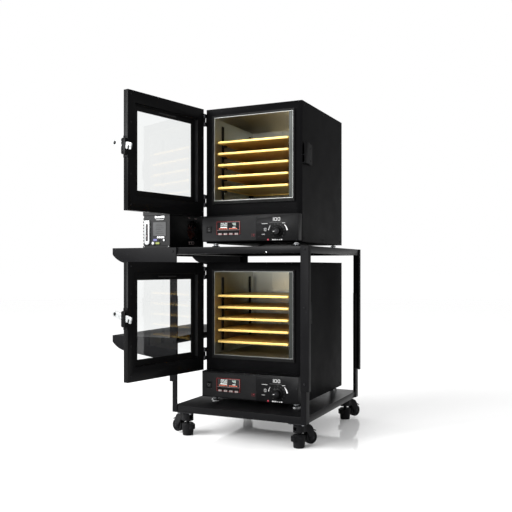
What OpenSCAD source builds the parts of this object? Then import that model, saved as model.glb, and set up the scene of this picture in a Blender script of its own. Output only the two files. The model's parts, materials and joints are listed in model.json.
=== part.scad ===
// Two-tier drying station: two heated cabinets with hinged glass doors on a wheeled rack,
// with two side shelves and a purge controller. Millimetres, +Z up, floor at z = 0.

/* [Rack] */
// Mean distance from a cabinet's side to the outside of the base legs
rack_side = 66; // [64:0.5:110]
// Distance from the cabinets' back to the outside of the base legs
rack_back = 14.4; // [4:0.4:60]
// Sheet thickness of trays, legs and side shelves
sheet_t = 3; // [2:0.5:4]
// Depth of the folded edge of a tray
tray_h = 24; // [18:1:34]
// Width of the lip folded in under a tray's edge
lip_w = 16; // [8:1:22]
// Flange of a base leg across the rack
base_flange_x = 19.5; // [15:0.5:19.5]
// Flange of a base leg along the rack
base_flange_y = 31; // [24:1:40]
// Length of a base leg
base_leg_len = 414; // [360:2:440]
// How far a deck leg stands outside its base leg
deck_step = 10; // [6:1:14]
// Flange of a deck leg along the rack
deck_flange_y = 20; // [16:1:26]
// Length over which a deck leg overlaps its base leg
leg_overlap = 305; // [200:5:340]
// Free height between the lower cabinet and the deck
deck_gap = 29; // [12:1:60]

/* [Side shelves] */
// Width of a side shelf
side_w = 247.4; // [200:0.2:300]
// Height of the lower side shelf's top
side_low_top = 350; // [320:2:420]
// Depth of a side shelf's bracket where it meets the leg
side_root_h = 88; // [60:1:110]
// Radius of the curve at the bracket's outer end
side_curve_r = 92; // [60:1:120]

/* [Cabinets] */
// Width of a cabinet
cab_w = 380; // [350:1:440]
// Depth of a cabinet
cab_d = 434; // [400:2:500]
// Height of a cabinet without its feet
cab_h = 494; // [490:1:540]
// Wall thickness of the case
case_t = 2; // [1.5:0.5:3]
// Offset of the cabinets to the right of the rack's middle
cab_shift = 2.6; // [0:0.2:5]
// Distance from the outside of the base legs to the cabinets' front
cab_setback = 127.6; // [120:0.4:160]
// Height of a cabinet's foot
foot_h = 17; // [12:1:24]
// Radius of a foot's pad
foot_r = 16; // [12:1:20]
// Inset of the feet from the cabinet's sides
foot_inset = 30; // [22:1:50]

/* [Chamber] */
// Distance from the cabinet's sides to the chamber and its latch-side strip
chamber_side = 35.5; // [32:0.5:44]
// Height of the chamber's floor above the cabinet's bottom
chamber_z = 157; // [152:1:160]
// Distance from the cabinet's top to the chamber
chamber_over = 35; // [32:1:60]
// Depth of the bay behind the chamber
chamber_behind = 109; // [80:1:130]
// Wall thickness of the chamber
liner_t = 2.5; // [1.5:0.5:4]
// Width of the strip beside the chamber on the latch side
strip_w = 14.5; // [10:0.5:15]
// Width of the bright rim round the opening
rim_w = 3; // [2:0.5:5]
// How far the rim stands out of the cabinet's front
rim_out = 3; // [2:0.5:5]

/* [Shelves] */
// Height of the lowest shelf's underside above the cabinet's bottom
shelf_first = 199; // [190:1:206]
// Distance between shelves
shelf_pitch = 42; // [36:1:46]
// Height of a shelf's folded edge
shelf_h = 8; // [6:1:10]
// Sheet thickness of a shelf
shelf_t = 2; // [1:0.5:3]
// Gap between a shelf and the chamber's back
shelf_back = 17; // [10:1:50]
// Gap between a shelf and the chamber's side
shelf_gap = 6; // [4:0.5:9]
// Thickness of the upright rails on the chamber's sides
rail_t = 3; // [2:0.5:3.5]
// Width of an upright rail
rail_w = 14; // [10:1:20]
// Reach of a shelf bracket from the chamber's side
bracket_reach = 16; // [12:1:24]
// Height of a shelf bracket
bracket_h = 6; // [4:1:8]

/* [Doors] */
// How much narrower a door is than its cabinet
door_less = 4; // [3:0.2:6]
// Thickness of a door's frame
door_t = 20; // [18:0.5:20]
// Angle at which the doors stand open
door_open = 101.6; // [60:0.2:101.6]
// Width of the door's stiles
stile_w = 33; // [30:0.5:36]
// Height of the door's bottom rail
rail_low = 47.6; // [44:0.2:52]
// Height of the door's top rail
rail_top = 39; // [34:0.5:44]
// Width of the ledge that the glass rests on
ledge_w = 21; // [14:1:28]
// Thickness of the ledge
ledge_t = 1.5; // [1:0.5:3]
// Thickness of the door glass
glass_t = 3.5; // [3:0.5:6]
// Width of the silicone seal round the chamber
seal_w = 5; // [4:0.5:9]

/* [Hinges] */
// Distance of the hinge pin outside the cabinet's side
pin_out = 4; // [4:0.2:5]
// Distance of the hinge pin in front of the cabinet
pin_front = 9.5; // [8:0.5:12]
// Distance of the door's inner face behind the hinge pin
door_back = 1.5; // [1:0.1:2]
// Distance of the door's edge from the hinge pin
pin_edge = 4.7; // [4.7:0.1:6]
// Diameter of the hinge pin
pin_d = 5; // [4:0.5:5]
// Radius of a hinge knuckle
knuckle_r = 4.4; // [4:0.1:4.4]
// Height of a hinge
hinge_h = 45; // [36:1:60]
// Height of the lower hinge's middle above the cabinet's bottom
hinge_low = 157; // [140:1:180]
// Distance of the upper hinge's middle from the cabinet's top
hinge_top = 39; // [30:1:80]

/* [Latch] */
// Distance of the latch's pivot from the cabinet's top
latch_top = 182; // [160:1:200]
// Thickness of the latch's base plate on the door's edge
latch_base_t = 2; // [1.5:0.5:2.5]
// Height of the latch's base plate
latch_base_h = 72; // [66:1:84]
// How far the latch block stands out of its base plate
block_out = 10.5; // [10:0.5:13]
// Width of the latch block along the door's thickness
block_w = 17.8; // [16:0.2:18]
// Height of the latch block
block_h = 53; // [50:1:60]
// Thickness of the latch lever
lever_t = 4; // [3:0.5:4]
// Slope of the lever while it is hooked in
lever_tilt = 14; // [8:1:14]
// Angle through which the lever lifts its hook
lever_lift = 32; // [28:1:32]
// Reach of the lever's handle from its pivot
handle_out = 53; // [44:1:60]
// Reach of the lever's hook from its pivot
hook_out = 36.5; // [35:0.5:38]
// Height of the keeper
keeper_h = 75; // [66:1:84]
// Depth of the keeper
keeper_d = 88; // [70:1:100]
// Sheet thickness of the keeper
keeper_t = 4; // [3:0.5:4]
// Gap between the keeper's ear and the cabinet's side
keeper_gap = 8; // [8:0.5:10]
// Diameter of the keeper's pin
keeper_pin_d = 4.4; // [4:0.2:5]

/* [Control panels] */
// How much narrower a control panel is than its cabinet
panel_less = 2; // [0:0.5:20]
// How far a control panel stands out of the cabinet's front
panel_d = 34; // [30:1:40]
// Height of a control panel
panel_h = 93; // [88:1:93]
// Height of a control panel's bottom above the cabinet's bottom
panel_z = 5; // [3:0.5:5]
// Wall thickness of a control panel
panel_t = 2.5; // [2:0.5:4]
// Diameter of the set knob's skirt
knob_d = 40; // [30:1:50]
// Height of the set knob
knob_h = 18; // [12:1:24]

/* [Rear] */
// Distance of the power inlet from the cabinet's right side
inlet_side = 70; // [40:1:120]
// Height of the power inlet's middle above the cabinet's bottom
inlet_z = 62; // [40:1:80]
// Inset of the service cover from the cabinet's sides
cover_side = 34; // [20:1:60]
// Height of the service cover's bottom above the cabinet's bottom
cover_z = 112; // [100:1:160]
// Distance of the service cover's top from the cabinet's top
cover_top = 20; // [10:1:60]
// Thickness of the service cover
cover_t = 1.5; // [1:0.5:2.5]
// Number of louvres in a column
louvre_rows = 8; // [2:1:10]
// Distance between louvres
louvre_pitch = 14; // [12:0.5:18]
// Length of a louvre
louvre_w = 96; // [60:1:110]

/* [Casters] */
// Height of a caster
caster_h = 86; // [84:1:96]
// Inset of a caster's axis from the rack's side
caster_inset_x = 41; // [38:1:60]
// Inset of a caster's axis from the rack's front and back
caster_inset_y = 40; // [38:1:60]
// Diameter of a caster's wheel
wheel_d = 46; // [40:1:48]
// Width of a caster's wheel
wheel_w = 20; // [14:1:24]
// Distance of the wheel from the caster's axis
caster_trail = 48; // [47:0.5:56]
// Height of the wheels above the floor while the feet are down
wheel_lift = 6.5; // [4:0.5:7]
// Radius of a levelling foot at the floor
pad_r = 19; // [16:0.5:20]
// Greatest radius of a levelling foot
cup_r = 22; // [20:0.5:22]
// Height of a levelling foot
cup_h = 43.5; // [38:0.5:43.5]
// Height by which a levelling foot winds up
foot_travel = 8.5; // [8:0.1:8.5]

/* [Purge controller] */
// Width of the purge controller
purge_w = 117; // [100:1:130]
// Depth of the purge controller
purge_d = 250; // [200:1:300]
// Height of the purge controller
purge_h = 150; // [130:1:180]
// Distance from the rack's front to the controller's front
purge_setback = 27.6; // [10:0.4:60]
// Gap between the controller and the deck's edge
purge_gap = 17.4; // [10:0.2:40]
// Radius of the fan's opening
fan_r = 38; // [30:1:42]

/* [Hidden] */
$fn = 64;
cut = 1;              // how far a cutter runs past a face
run = 0.05;           // radial running clearance of pins and shafts
ease = 0.3;           // gap between moving pieces

rack_w = cab_w + 2 * rack_side;
rack_d = cab_setback + cab_d + rack_back;
base_z = caster_h;
base_top = base_z + tray_h;
base_leg_top = base_z + base_leg_len;
deck_leg_foot = base_leg_top - leg_overlap;
low_z = base_top + foot_h;
deck_z = low_z + cab_h + deck_gap;
deck_top = deck_z + tray_h;
high_z = deck_top + foot_h;
deck_half = rack_w / 2 + deck_step;
leg_inner = rack_w / 2 - base_flange_x;
bracket_y = rack_d / 2 + sheet_t;
side_out = deck_half + side_w;
cab_front = -rack_d / 2 + cab_setback;

chamber_w = cab_w - 2 * chamber_side - strip_w;
chamber_h = cab_h - chamber_z - chamber_over;
chamber_d = cab_d - chamber_behind;
chamber_x0 = -cab_w / 2 + chamber_side;
chamber_x1 = chamber_x0 + chamber_w;
chamber_mid = chamber_x0 + chamber_w / 2;
opening_w = chamber_w + strip_w;
opening_mid = chamber_x0 + opening_w / 2;
shelf_w = chamber_w - 2 * shelf_gap;
shelf_y = 8;
shelf_d = chamber_d - shelf_y - shelf_back;
rail_ys = [60, chamber_d - 30];

pin_x = -cab_w / 2 - pin_out;
door_w = cab_w - door_less;
door_z = panel_z + panel_h + 0.4;
door_h = cab_h - door_z;
door_free = pin_edge + door_w;
outer_y = door_back - door_t;
seal_t = pin_front - door_back - ease;
hinge_leaf_t = 2.5;
hinge_leaf_d = 22;
knuckle_h = (hinge_h - 2 * ease) / 3;
hinge_high = cab_h - hinge_top;
hinge_zs = [hinge_low, hinge_high];

latch_z = cab_h - latch_top;
latch_y = (door_back + outer_y) / 2;
lever_x = door_free + latch_base_t + 6;
lever_slot = lever_t + 1.2;
lever_slot_h = 29;
pivot_r = 2;
block_drop = 5;
// Distances from the lever's pivot, the lever being level
hook_from = 10.9;
hook_up = 11;
hook_r = 4;
hook_slot_y = 24;
hook_slot_w = 8;
pin_below = 2.5;
keeper_y = latch_y - pin_front + hook_slot_y * cos(lever_tilt) - pin_below * sin(lever_tilt);
keeper_z = latch_z - hook_slot_y * sin(lever_tilt) - pin_below * cos(lever_tilt);
keeper_ear = keeper_d / 2;

pane_w = door_w - 2 * stile_w;
pane_h = door_h - rail_low - rail_top;
pane_x = pin_edge + door_w / 2;
pane_z = rail_low + pane_h / 2;
window_w = pane_w - 2 * ledge_w;
window_h = pane_h - 2 * ledge_w;
glass_lap = 13;

panel_w = cab_w - panel_less;
meter_x = -panel_w / 2 + 108;
meter_z = panel_z + 48;
meter_w = 96;
meter_h = 48;
meter_out = 2;
window_in = 1;
key_z = meter_z - 21.5;
key_pitch = 22;
key_xs = [for (i = [-1.5:1.5]) meter_x + i * key_pitch];
key_w = 14;
key_h = 7;
knob_x = panel_w / 2 - 76.5;
knob_z = panel_z + 33;
dial_r = 29;
dial_out = 1;
shaft_r = 3;
switch_x = -panel_w / 2 + 29;
switch_z = panel_z + 44;
switch_w = 16;
switch_out = 1.5;
switch_d = 10;
rocker_pin_r = 1.2;
rocker_back = 4;

inlet_x = cab_w / 2 - inlet_side;
inlet_body_w = 28;
inlet_body_h = 20;
inlet_d = 21;
inlet_well = 18;
inlet_flange_t = 3;

wheel_r = wheel_d / 2;
axle_z = wheel_r + wheel_lift;
axle_r = 4;
plate_t = 4;
race_h = 3;
swivel_z = caster_h - plate_t - race_h;
housing_top = swivel_z - ease;
boss_r = 20;
king_r = 7;
king_len = 8.3;
head_r = king_r + 3;
head_h = 2.3;
bearing_z = swivel_z - king_len + ease;
web_t = 6;
web_z = cup_h + foot_travel + ease;
stem_r = 6;
cheek_t = 3.5;
cheek_y = wheel_w / 2 + 0.4;
caster_x = rack_w / 2 - caster_inset_x;
caster_y = rack_d / 2 - caster_inset_y;
swivel_front_left = 165;
swivel_rear_left = 120;
swivel_right = 60;

purge_x1 = -deck_half - purge_gap;
purge_x0 = purge_x1 - purge_w;
purge_y0 = -rack_d / 2 + purge_setback;
fan_y = purge_y0 + 162;
fan_z = deck_top + 71;
fan_depth = 14;
fan_pin_r = 2;
purge_row_z = deck_top + 17;
purge_knob_x = purge_x0 + 47;
purge_button_x = purge_x0 + 65;
purge_button_w = 16;
purge_button_h = 7;
purge_shaft_r = 2;
purge_hole_d = 14;

// Extremes of the whole station, which put the origin under the middle of its box
left_end = -side_out;
right_end = max(deck_half, caster_x + wheel_reach(90 - swivel_right));
hook_end = latch_y + hook_r + (hook_out - hook_r) * cos(lever_tilt) + (hook_up - hook_r) * sin(lever_tilt);
front_end = cab_front - pin_front - (lever_x + lever_t / 2) * sin(door_open) + hook_end * cos(door_open);
rear_end = max(bracket_y + sheet_t, caster_y + wheel_reach(swivel_right));

// Reach of a wheel from its caster's axis, for the trail's angle from the line across that reach
function wheel_reach(a) = (caster_trail + wheel_r) * sin(a) + wheel_w / 2 * cos(a);

// Points on an arc in a drawing plane
function arc(cx, cy, r, a0, a1, n) =
    [for (i = [0:n]) [cx + r * cos(a0 + (a1 - a0) * i / n), cy + r * sin(a0 + (a1 - a0) * i / n)]];

module station() {
    translate([-(left_end + right_end) / 2, -(front_end + rear_end) / 2, 0]) children();
}

// A cabinet's own frame: middle of its width, front face, bottom
module cabinet(z) {
    station() translate([cab_shift, cab_front, z]) children();
}

// A door's own frame: hinge pin, inner face towards +y when shut, bottom of the door
module door(z) {
    cabinet(z) translate([pin_x, -pin_front, door_z]) rotate([0, 0, -door_open]) children();
}

// A caster's own frame: swivel axis at the floor, +x towards the wheel
module caster(sx, sy, a) {
    station() translate([sx * caster_x, sy * caster_y, 0]) rotate([0, 0, a]) children();
}

// Lays a drawing of y and z up along x, from x0 for a length
module along_x(x0, length) {
    translate([x0, 0, 0]) rotate([90, 0, 90]) linear_extrude(length) children();
}

// Lays a drawing of x and z up along y, from y0 for a length
module along_y(y0, length) {
    translate([0, y0 + length, 0]) rotate([90, 0, 0]) linear_extrude(length) children();
}

// Rectangle with rounded corners
module round_rect(w, h, r) {
    square([w - 2 * r, h], center = true);
    square([w, h - 2 * r], center = true);
    for (x = [-1, 1], y = [-1, 1])
        translate([x * (w / 2 - r), y * (h / 2 - r)]) circle(r);
}

module box(x0, x1, y0, y1, z0, z1) {
    translate([x0, y0, z0]) cube([x1 - x0, y1 - y0, z1 - z0]);
}

// Folded tray, open below, with a lip turned in under its edge
module tray(w, d, z) {
    difference() {
        box(-w / 2, w / 2, -d / 2, d / 2, z, z + tray_h);
        box(-w / 2 + sheet_t, w / 2 - sheet_t, -d / 2 + sheet_t, d / 2 - sheet_t,
            z + sheet_t, z + tray_h - sheet_t);
        box(-w / 2 + lip_w, w / 2 - lip_w, -d / 2 + lip_w, d / 2 - lip_w,
            z - cut, z + sheet_t + cut);
    }
}

module base_tray() {
    gusset = 2 * caster_inset_x - 8;
    tray_w = rack_w - 2 * sheet_t;
    tray_d = rack_d - 2 * sheet_t;
    station() color("#141416") {
        tray(tray_w, tray_d, base_z);
        for (x = [-1, 1], y = [-1, 1])
            translate([x * (tray_w - gusset) / 2, y * (tray_d - gusset) / 2, base_z + sheet_t / 2])
                cube([gusset - sheet_t, gusset - sheet_t, sheet_t], center = true);
    }
}

module deck_tray() {
    station() color("#141416") tray(2 * (deck_half - sheet_t), rack_d, deck_z);
}

// Four angle legs whose corners stand at half-widths hx and hy
module angle_legs(hx, hy, fx, fy, z0, z1) {
    for (sx = [0, 1], sy = [0, 1])
        mirror([sx, 0, 0]) mirror([0, sy, 0]) translate([-hx, -hy, z0])
            linear_extrude(z1 - z0) {
                square([fx, sheet_t]);
                square([sheet_t, fy]);
            }
}

module base_legs() {
    station() color("#161618")
        angle_legs(rack_w / 2, rack_d / 2, base_flange_x, base_flange_y, base_z, base_leg_top);
}

module deck_legs() {
    station() color("#161618")
        angle_legs(deck_half, bracket_y, deck_half - leg_inner, deck_flange_y,
            deck_leg_foot, deck_top);
}

// Side of a side shelf: level top, curved tip and a straight taper that runs on from the curve
module bracket_side() {
    start = 220;
    cx = -side_out - side_curve_r * cos(start);
    cz = -tray_h - side_curve_r * sin(start);
    dx = -leg_inner - cx;
    dz = -side_root_h - cz;
    touch = 360 + atan2(dz, dx) - acos(side_curve_r / norm([dx, dz]));
    polygon(concat(
        [[-leg_inner, 0], [-side_out, 0]],
        arc(cx, cz, side_curve_r, start, touch, 8),
        [[-leg_inner, -side_root_h]]));
}

module side_shelf(top) {
    half = bracket_y + sheet_t;
    station() color("#151517") translate([0, 0, top]) {
        box(-side_out, -deck_half, -half, half, -sheet_t, 0);
        box(-side_out, -side_out + sheet_t, -half, half, -tray_h, 0);
        box(-deck_half - sheet_t, -deck_half, -half, half, -tray_h, 0);
        for (y = [-half, half - sheet_t])
            along_y(y, sheet_t) bracket_side();
    }
}

module side_shelf_low() side_shelf(side_low_top);

module side_shelf_high() side_shelf(deck_top);

// Caster plates with their races and kingpins
module caster_plates() {
    plate = 60;
    color("#2a2a2c")
        for (x = [-1, 1], y = [-1, 1]) caster(x, y, 0) {
            translate([0, 0, caster_h - plate_t]) linear_extrude(plate_t) round_rect(plate, plate, 6);
            translate([0, 0, swivel_z]) cylinder(r = boss_r - 2, h = race_h);
            translate([0, 0, swivel_z - king_len]) cylinder(r = king_r, h = king_len);
            translate([0, 0, swivel_z - king_len - head_h]) cylinder(r = head_r, h = head_h);
        }
}

// Cheek of a caster housing, from the boss down to the axle
module cheek() {
    hub_r = 9;
    crown_r = 32;
    polygon(concat(
        [[0, housing_top], [0, web_z], [caster_trail - wheel_r - 1, web_z]],
        arc(caster_trail, axle_z, hub_r, 200, 380, 12),
        arc(caster_trail + 6 - crown_r, housing_top - crown_r, crown_r, 0, 80, 8)));
}

// Moulded caster housing: boss, two cheeks, wheel guard and axle, with a well for the kingpin
module housing(sx, sy, a) {
    guard_r = wheel_r + 2.5;
    guard_t = 3;
    well_r = head_r + 1;
    floor_z = web_z + web_t;
    window_w = 18;
    caster(sx, sy, a) color("#1c1c1e") difference() {
        union() {
            translate([0, 0, web_z]) cylinder(r = boss_r, h = housing_top - web_z);
            for (y = [-cheek_y - cheek_t, cheek_y])
                along_y(y, cheek_t) cheek();
            along_y(-cheek_y, 2 * cheek_y)
                polygon(concat(
                    arc(caster_trail, axle_z, guard_r, 50, 128, 10),
                    arc(caster_trail, axle_z, guard_r + guard_t, 128, 50, 10)));
            along_y(-cheek_y - cut, 2 * (cheek_y + cut))
                translate([caster_trail, axle_z]) circle(axle_r);
        }
        translate([0, 0, bearing_z]) cylinder(r = king_r + run, h = housing_top - bearing_z + cut);
        translate([0, 0, floor_z]) cylinder(r = well_r, h = bearing_z - floor_z);
        translate([0, 0, web_z - cut]) cylinder(r = stem_r + run, h = web_t + 2 * cut);
        box(-boss_r - cut, -king_r, -window_w / 2, window_w / 2, floor_z, bearing_z);
    }
}

// Wheel with a hub, a dished web and a rounded tread
module wheel(sx, sy, a) {
    groove = 2;
    half = wheel_w / 2;
    side = [
        [wheel_r * 0.5, half], [wheel_r * 0.55, half - groove], [wheel_r * 0.72, half - groove],
        [wheel_r * 0.78, half], [wheel_r - 2.5, half], [wheel_r - 0.8, half - 0.8], [wheel_r, half - 3]];
    caster(sx, sy, a) color("#202022")
        translate([caster_trail, 0, axle_z]) rotate([90, 0, 0])
            rotate_extrude() polygon(concat(
                [[axle_r + run, -half]],
                [for (p = side) [p[0], -p[1]]],
                [for (i = [len(side) - 1:-1:0]) side[i]],
                [[axle_r + run, half]]));
}

// Levelling foot: tapered cup, stem and thumb grip
module foot(sx, sy, a) {
    stem_top = web_z + web_t + 1;
    grip_r = 11;
    grip_h = cup_h / 2 - 4;
    caster(sx, sy, a) color("#18181a") {
        rotate_extrude() polygon([
            [0, 0], [pad_r - 1.5, 0], [pad_r, 1.5], [cup_r, cup_h - 4], [cup_r - 3, cup_h],
            [stem_r, cup_h], [stem_r, stem_top], [0, stem_top]]);
        translate([2 - cup_r, 0, cup_h - 2 - grip_h]) cylinder(r = grip_r, h = grip_h);
    }
}

// Turned feet of both cabinets: pad, cone and stem
module cabinet_feet() {
    ys = [foot_inset - 12, cab_d - foot_inset + 12];
    color("#c9ccd1")
        for (z = [low_z, high_z], x = [-1, 1], y = ys)
            cabinet(z) translate([x * (cab_w / 2 - foot_inset), y, -foot_h])
                rotate_extrude() polygon([
                    [0, 0], [foot_r, 0], [foot_r, 4], [foot_r - 3, 7], [7, 8.5],
                    [7, foot_h], [0, foot_h]]);
}

// Sheet case, open at the chamber and cut out for the power inlet
module case(z) {
    cabinet(z) color("#111113") difference() {
        box(-cab_w / 2, cab_w / 2, 0, cab_d, 0, cab_h);
        box(-cab_w / 2 + case_t, cab_w / 2 - case_t, case_t, cab_d - case_t,
            case_t, cab_h - case_t);
        box(chamber_x0 - liner_t, chamber_x1 + strip_w + liner_t, -cut, case_t + cut,
            chamber_z - liner_t, chamber_z + chamber_h + liner_t);
        along_y(cab_d - case_t - cut, case_t + 2 * cut) translate([inlet_x, inlet_z])
            square([inlet_body_w + 2 * ease, inlet_body_h + 2 * ease], center = true);
    }
}

// Service covers on both cabinets' backs, with two columns of louvres
module rear_covers() {
    top = cab_h - cover_top;
    wide = cab_w / 2 - cover_side;
    hood = 4;
    skin = 1;
    color("#131315")
        for (z = [low_z, high_z]) cabinet(z) translate([0, cab_d, 0]) {
            difference() {
                box(-wide, wide, 0, cover_t, cover_z, top);
                for (x = [-1, 1], i = [0:louvre_rows - 1])
                    along_x(x * wide / 2 - louvre_w / 2 + skin, louvre_w - 2 * skin)
                        translate([0, top - 30 - i * louvre_pitch])
                            polygon([[-cut, 0], [cover_t + cut, 0], [cover_t + cut, 4], [-cut, 4]]);
            }
            for (x = [-1, 1], i = [0:louvre_rows - 1])
                translate([x * wide / 2 - louvre_w / 2, cover_t, top - 30 - i * louvre_pitch])
                    difference() {
                        along_x(0, louvre_w)
                            polygon([[-cover_t / 2, 0], [hood, 0], [hood, skin], [0, 9], [-cover_t / 2, 9]]);
                        along_x(skin, louvre_w - 2 * skin)
                            polygon([[-cut, -cut], [hood - skin, -cut], [hood - skin, skin / 2], [-cut, 7]]);
                    }
        }
}

// Power inlets: flange on the cabinet's back and socket shell through it
module power_inlets() {
    shell = [inlet_body_w, inlet_body_h];
    color("#101012")
        for (z = [low_z, high_z]) cabinet(z) translate([inlet_x, cab_d, inlet_z]) difference() {
            union() {
                along_y(0, inlet_flange_t) round_rect(50, inlet_body_h + 4, 5);
                along_y(-inlet_d, inlet_d + cut) square(shell, center = true);
            }
            along_y(-inlet_well, inlet_well + inlet_flange_t + cut) inlet_outline();
        }
}

// Mouth of a power inlet, with its two cut corners
module inlet_outline() {
    w = inlet_body_w / 2 - 1.8;
    h = inlet_body_h / 2 - 1.8;
    c = 4;
    polygon([[-w, -h], [w, -h], [w, h - c], [w - c, h], [c - w, h], [-w, h - c]]);
}

// Contact blades in the power inlets
module inlet_pins() {
    blade_w = 2;
    blade_h = 4;
    blade_len = 14;
    color("#c9b27a")
        for (z = [low_z, high_z], p = [[-7, -2], [0, 2], [7, -2]])
            cabinet(z) translate([inlet_x + p[0], cab_d, inlet_z + p[1]])
                along_y(-inlet_well, blade_len) square([blade_w, blade_h], center = true);
}

// Stainless chamber: five walls, latch-side strip and bright rim
module chamber(z) {
    x0 = chamber_x0;
    x1 = chamber_x1;
    z0 = chamber_z;
    z1 = chamber_z + chamber_h;
    cabinet(z) color("#8d8f88") {
        difference() {
            box(x0 - liner_t, x1 + liner_t, 0, chamber_d + liner_t, z0 - liner_t, z1 + liner_t);
            box(x0, x1, -cut, chamber_d, z0, z1);
        }
        box(x1, x1 + strip_w + liner_t, 0, case_t, z0 - liner_t, z1 + liner_t);
        difference() {
            box(x0 - rim_w, x1 + strip_w + rim_w, -rim_out, 0, z0 - rim_w, z1 + rim_w);
            box(x0, x1 + strip_w, -rim_out - cut, cut, z0, z1);
        }
    }
}

// Upright rails with a bracket under each shelf, on both sides of each chamber
module shelf_rails() {
    foot = chamber_z + 8;
    head = shelf_first + 5 * shelf_pitch + 30;
    color("#2b2c2b")
        for (z = [low_z, high_z], y = rail_ys) cabinet(z) {
            for (s = [0, 1])
                translate([chamber_mid, 0, 0]) mirror([s, 0, 0]) translate([-chamber_w / 2, y, 0]) {
                    box(0, rail_t, -rail_w / 2, rail_w / 2, foot, head);
                    for (i = [0:4])
                        box(0, bracket_reach, -rail_w / 2, rail_w / 2,
                            shelf_first + i * shelf_pitch - bracket_h,
                            shelf_first + i * shelf_pitch);
                }
        }
}

// Silicone seal round the rim, deeper along the bottom where the door's rail sits lower
module door_seals() {
    w = opening_w + 2 * rim_w;
    low = chamber_z - rim_w;
    high = chamber_z + chamber_h + rim_w;
    color("#1a1a1a")
        for (z = [low_z, high_z]) cabinet(z) difference() {
            box(opening_mid - w / 2 - seal_w, opening_mid + w / 2 + seal_w, -seal_t, 0,
                low - 2 * seal_w, high + seal_w);
            box(opening_mid - w / 2, opening_mid + w / 2, -seal_t - cut, cut, low, high);
        }
}

// Folded heating shelf with turned-down edges
module shelf(z, i) {
    cabinet(z) translate([chamber_mid, shelf_y + shelf_d / 2, shelf_first + (i - 1) * shelf_pitch])
        color("#d8b25a") difference() {
            linear_extrude(shelf_h) round_rect(shelf_w, shelf_d, 5);
            translate([0, 0, -cut]) linear_extrude(shelf_h - shelf_t + cut)
                round_rect(shelf_w - 2 * shelf_t, shelf_d - 2 * shelf_t, 3);
        }
}

// Hollow control panel with its meter frame, dial ring and switch frame
module panel(z) {
    front = -panel_d;
    well_d = 12;
    cabinet(z) color("#0e0e10") difference() {
        union() {
            difference() {
                box(-panel_w / 2, panel_w / 2, front, 0, panel_z, panel_z + panel_h);
                box(-panel_w / 2 + panel_t, panel_w / 2 - panel_t, front + panel_t, cut,
                    panel_z + panel_t, panel_z + panel_h - panel_t);
            }
            along_y(front - meter_out, meter_out) translate([meter_x, meter_z]) round_rect(meter_w, meter_h, 2);
            along_y(front - dial_out, dial_out) translate([knob_x, knob_z]) circle(dial_r);
            along_y(front - switch_out, switch_d - 1) translate([switch_x, switch_z])
                round_rect(switch_w + 5, switch_w + 7, 1.5);
        }
        for (x = key_xs)
            along_y(front - meter_out - cut, panel_t + meter_out + 2 * cut)
                translate([x, key_z]) square([key_w + 0.8, key_h + 0.8], center = true);
        along_y(front - meter_out - cut, window_in + cut) translate([meter_x, meter_z + 8])
            square([meter_w - 10, meter_h - 22], center = true);
        along_y(front - dial_out - cut, panel_t + dial_out + 2 * cut)
            translate([knob_x, knob_z]) circle(shaft_r + run);
        along_y(front - switch_out - cut, well_d) translate([switch_x, switch_z])
            square([switch_w + 2 * ease, switch_w + 2], center = true);
        along_x(switch_x - switch_w / 2 - 1.8, switch_w + 3.6)
            translate([front + rocker_back, switch_z]) circle(rocker_pin_r + run);
    }
}

// Key strip of the meter: four key caps on a common backing
module keys(z) {
    back = -panel_d + panel_t + ease;
    cap_out = 3;
    strip_t = 1.5;
    cabinet(z) color("#3a3a3d") {
        for (x = key_xs)
            along_y(-panel_d - cap_out, back + panel_d + cap_out)
                translate([x, key_z]) round_rect(key_w, key_h, 1.2);
        along_y(back, strip_t) translate([meter_x, key_z])
            square([3 * key_pitch + key_w, key_h + 3], center = true);
    }
}

// Set knob: skirt, waisted grip with flutes and shaft
module knob(z) {
    r = knob_d / 2;
    grip_r = knob_d * 0.34;
    flute_r = 2;
    flutes = 12;
    shaft = panel_t + 6;
    cabinet(z) translate([knob_x, -panel_d - dial_out, knob_z]) rotate([90, 0, 0]) color("#161617")
        difference() {
            union() {
                translate([0, 0, ease]) rotate_extrude() polygon([
                    [0, 0], [r, 0], [r, 2.5], [r - 3, 4.5], [grip_r, 5.5],
                    [grip_r - 0.8, knob_h - 1.5], [grip_r - 2.3, knob_h], [0, knob_h]]);
                translate([0, 0, -shaft]) cylinder(r = shaft_r, h = shaft + ease + 1);
            }
            for (i = [0:flutes - 1])
                rotate([0, 0, i * 360 / flutes]) translate([grip_r + flute_r / 2, 0, 6.5])
                    cylinder(r = flute_r, h = knob_h);
        }
}

// Rocker of the power switch, on its own pivot
module rocker(z) {
    half = switch_w / 2 - 0.8;
    pin_over = 1.5;
    cabinet(z) translate([switch_x, -panel_d + rocker_back, switch_z]) color("#0b0b0c") {
        along_x(-switch_w / 2, switch_w)
            polygon([[-7.5, half], [-4.6, 0], [-5.6, -half], [0, -half + 1.5], [2, 0], [0, half - 1.5]]);
        along_x(-switch_w / 2 - pin_over, switch_w + 2 * pin_over) circle(rocker_pin_r);
    }
}

// Fixed halves of the hinges, with their pins
module hinge_brackets() {
    x0 = pin_out - hinge_leaf_t;
    color("#3c3d40")
        for (z = [low_z, high_z], h = hinge_zs)
            cabinet(z) translate([pin_x, -pin_front, h - hinge_h / 2]) {
                box(x0, pin_out, pin_front, pin_front + hinge_leaf_d, 0, hinge_h);
                for (k = [0, hinge_h - knuckle_h]) {
                    translate([0, 0, k]) cylinder(r = knuckle_r, h = knuckle_h);
                    box(x0, pin_out, 0, pin_front + cut, k, k + knuckle_h);
                }
                cylinder(d = pin_d, h = hinge_h);
            }
}

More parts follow.
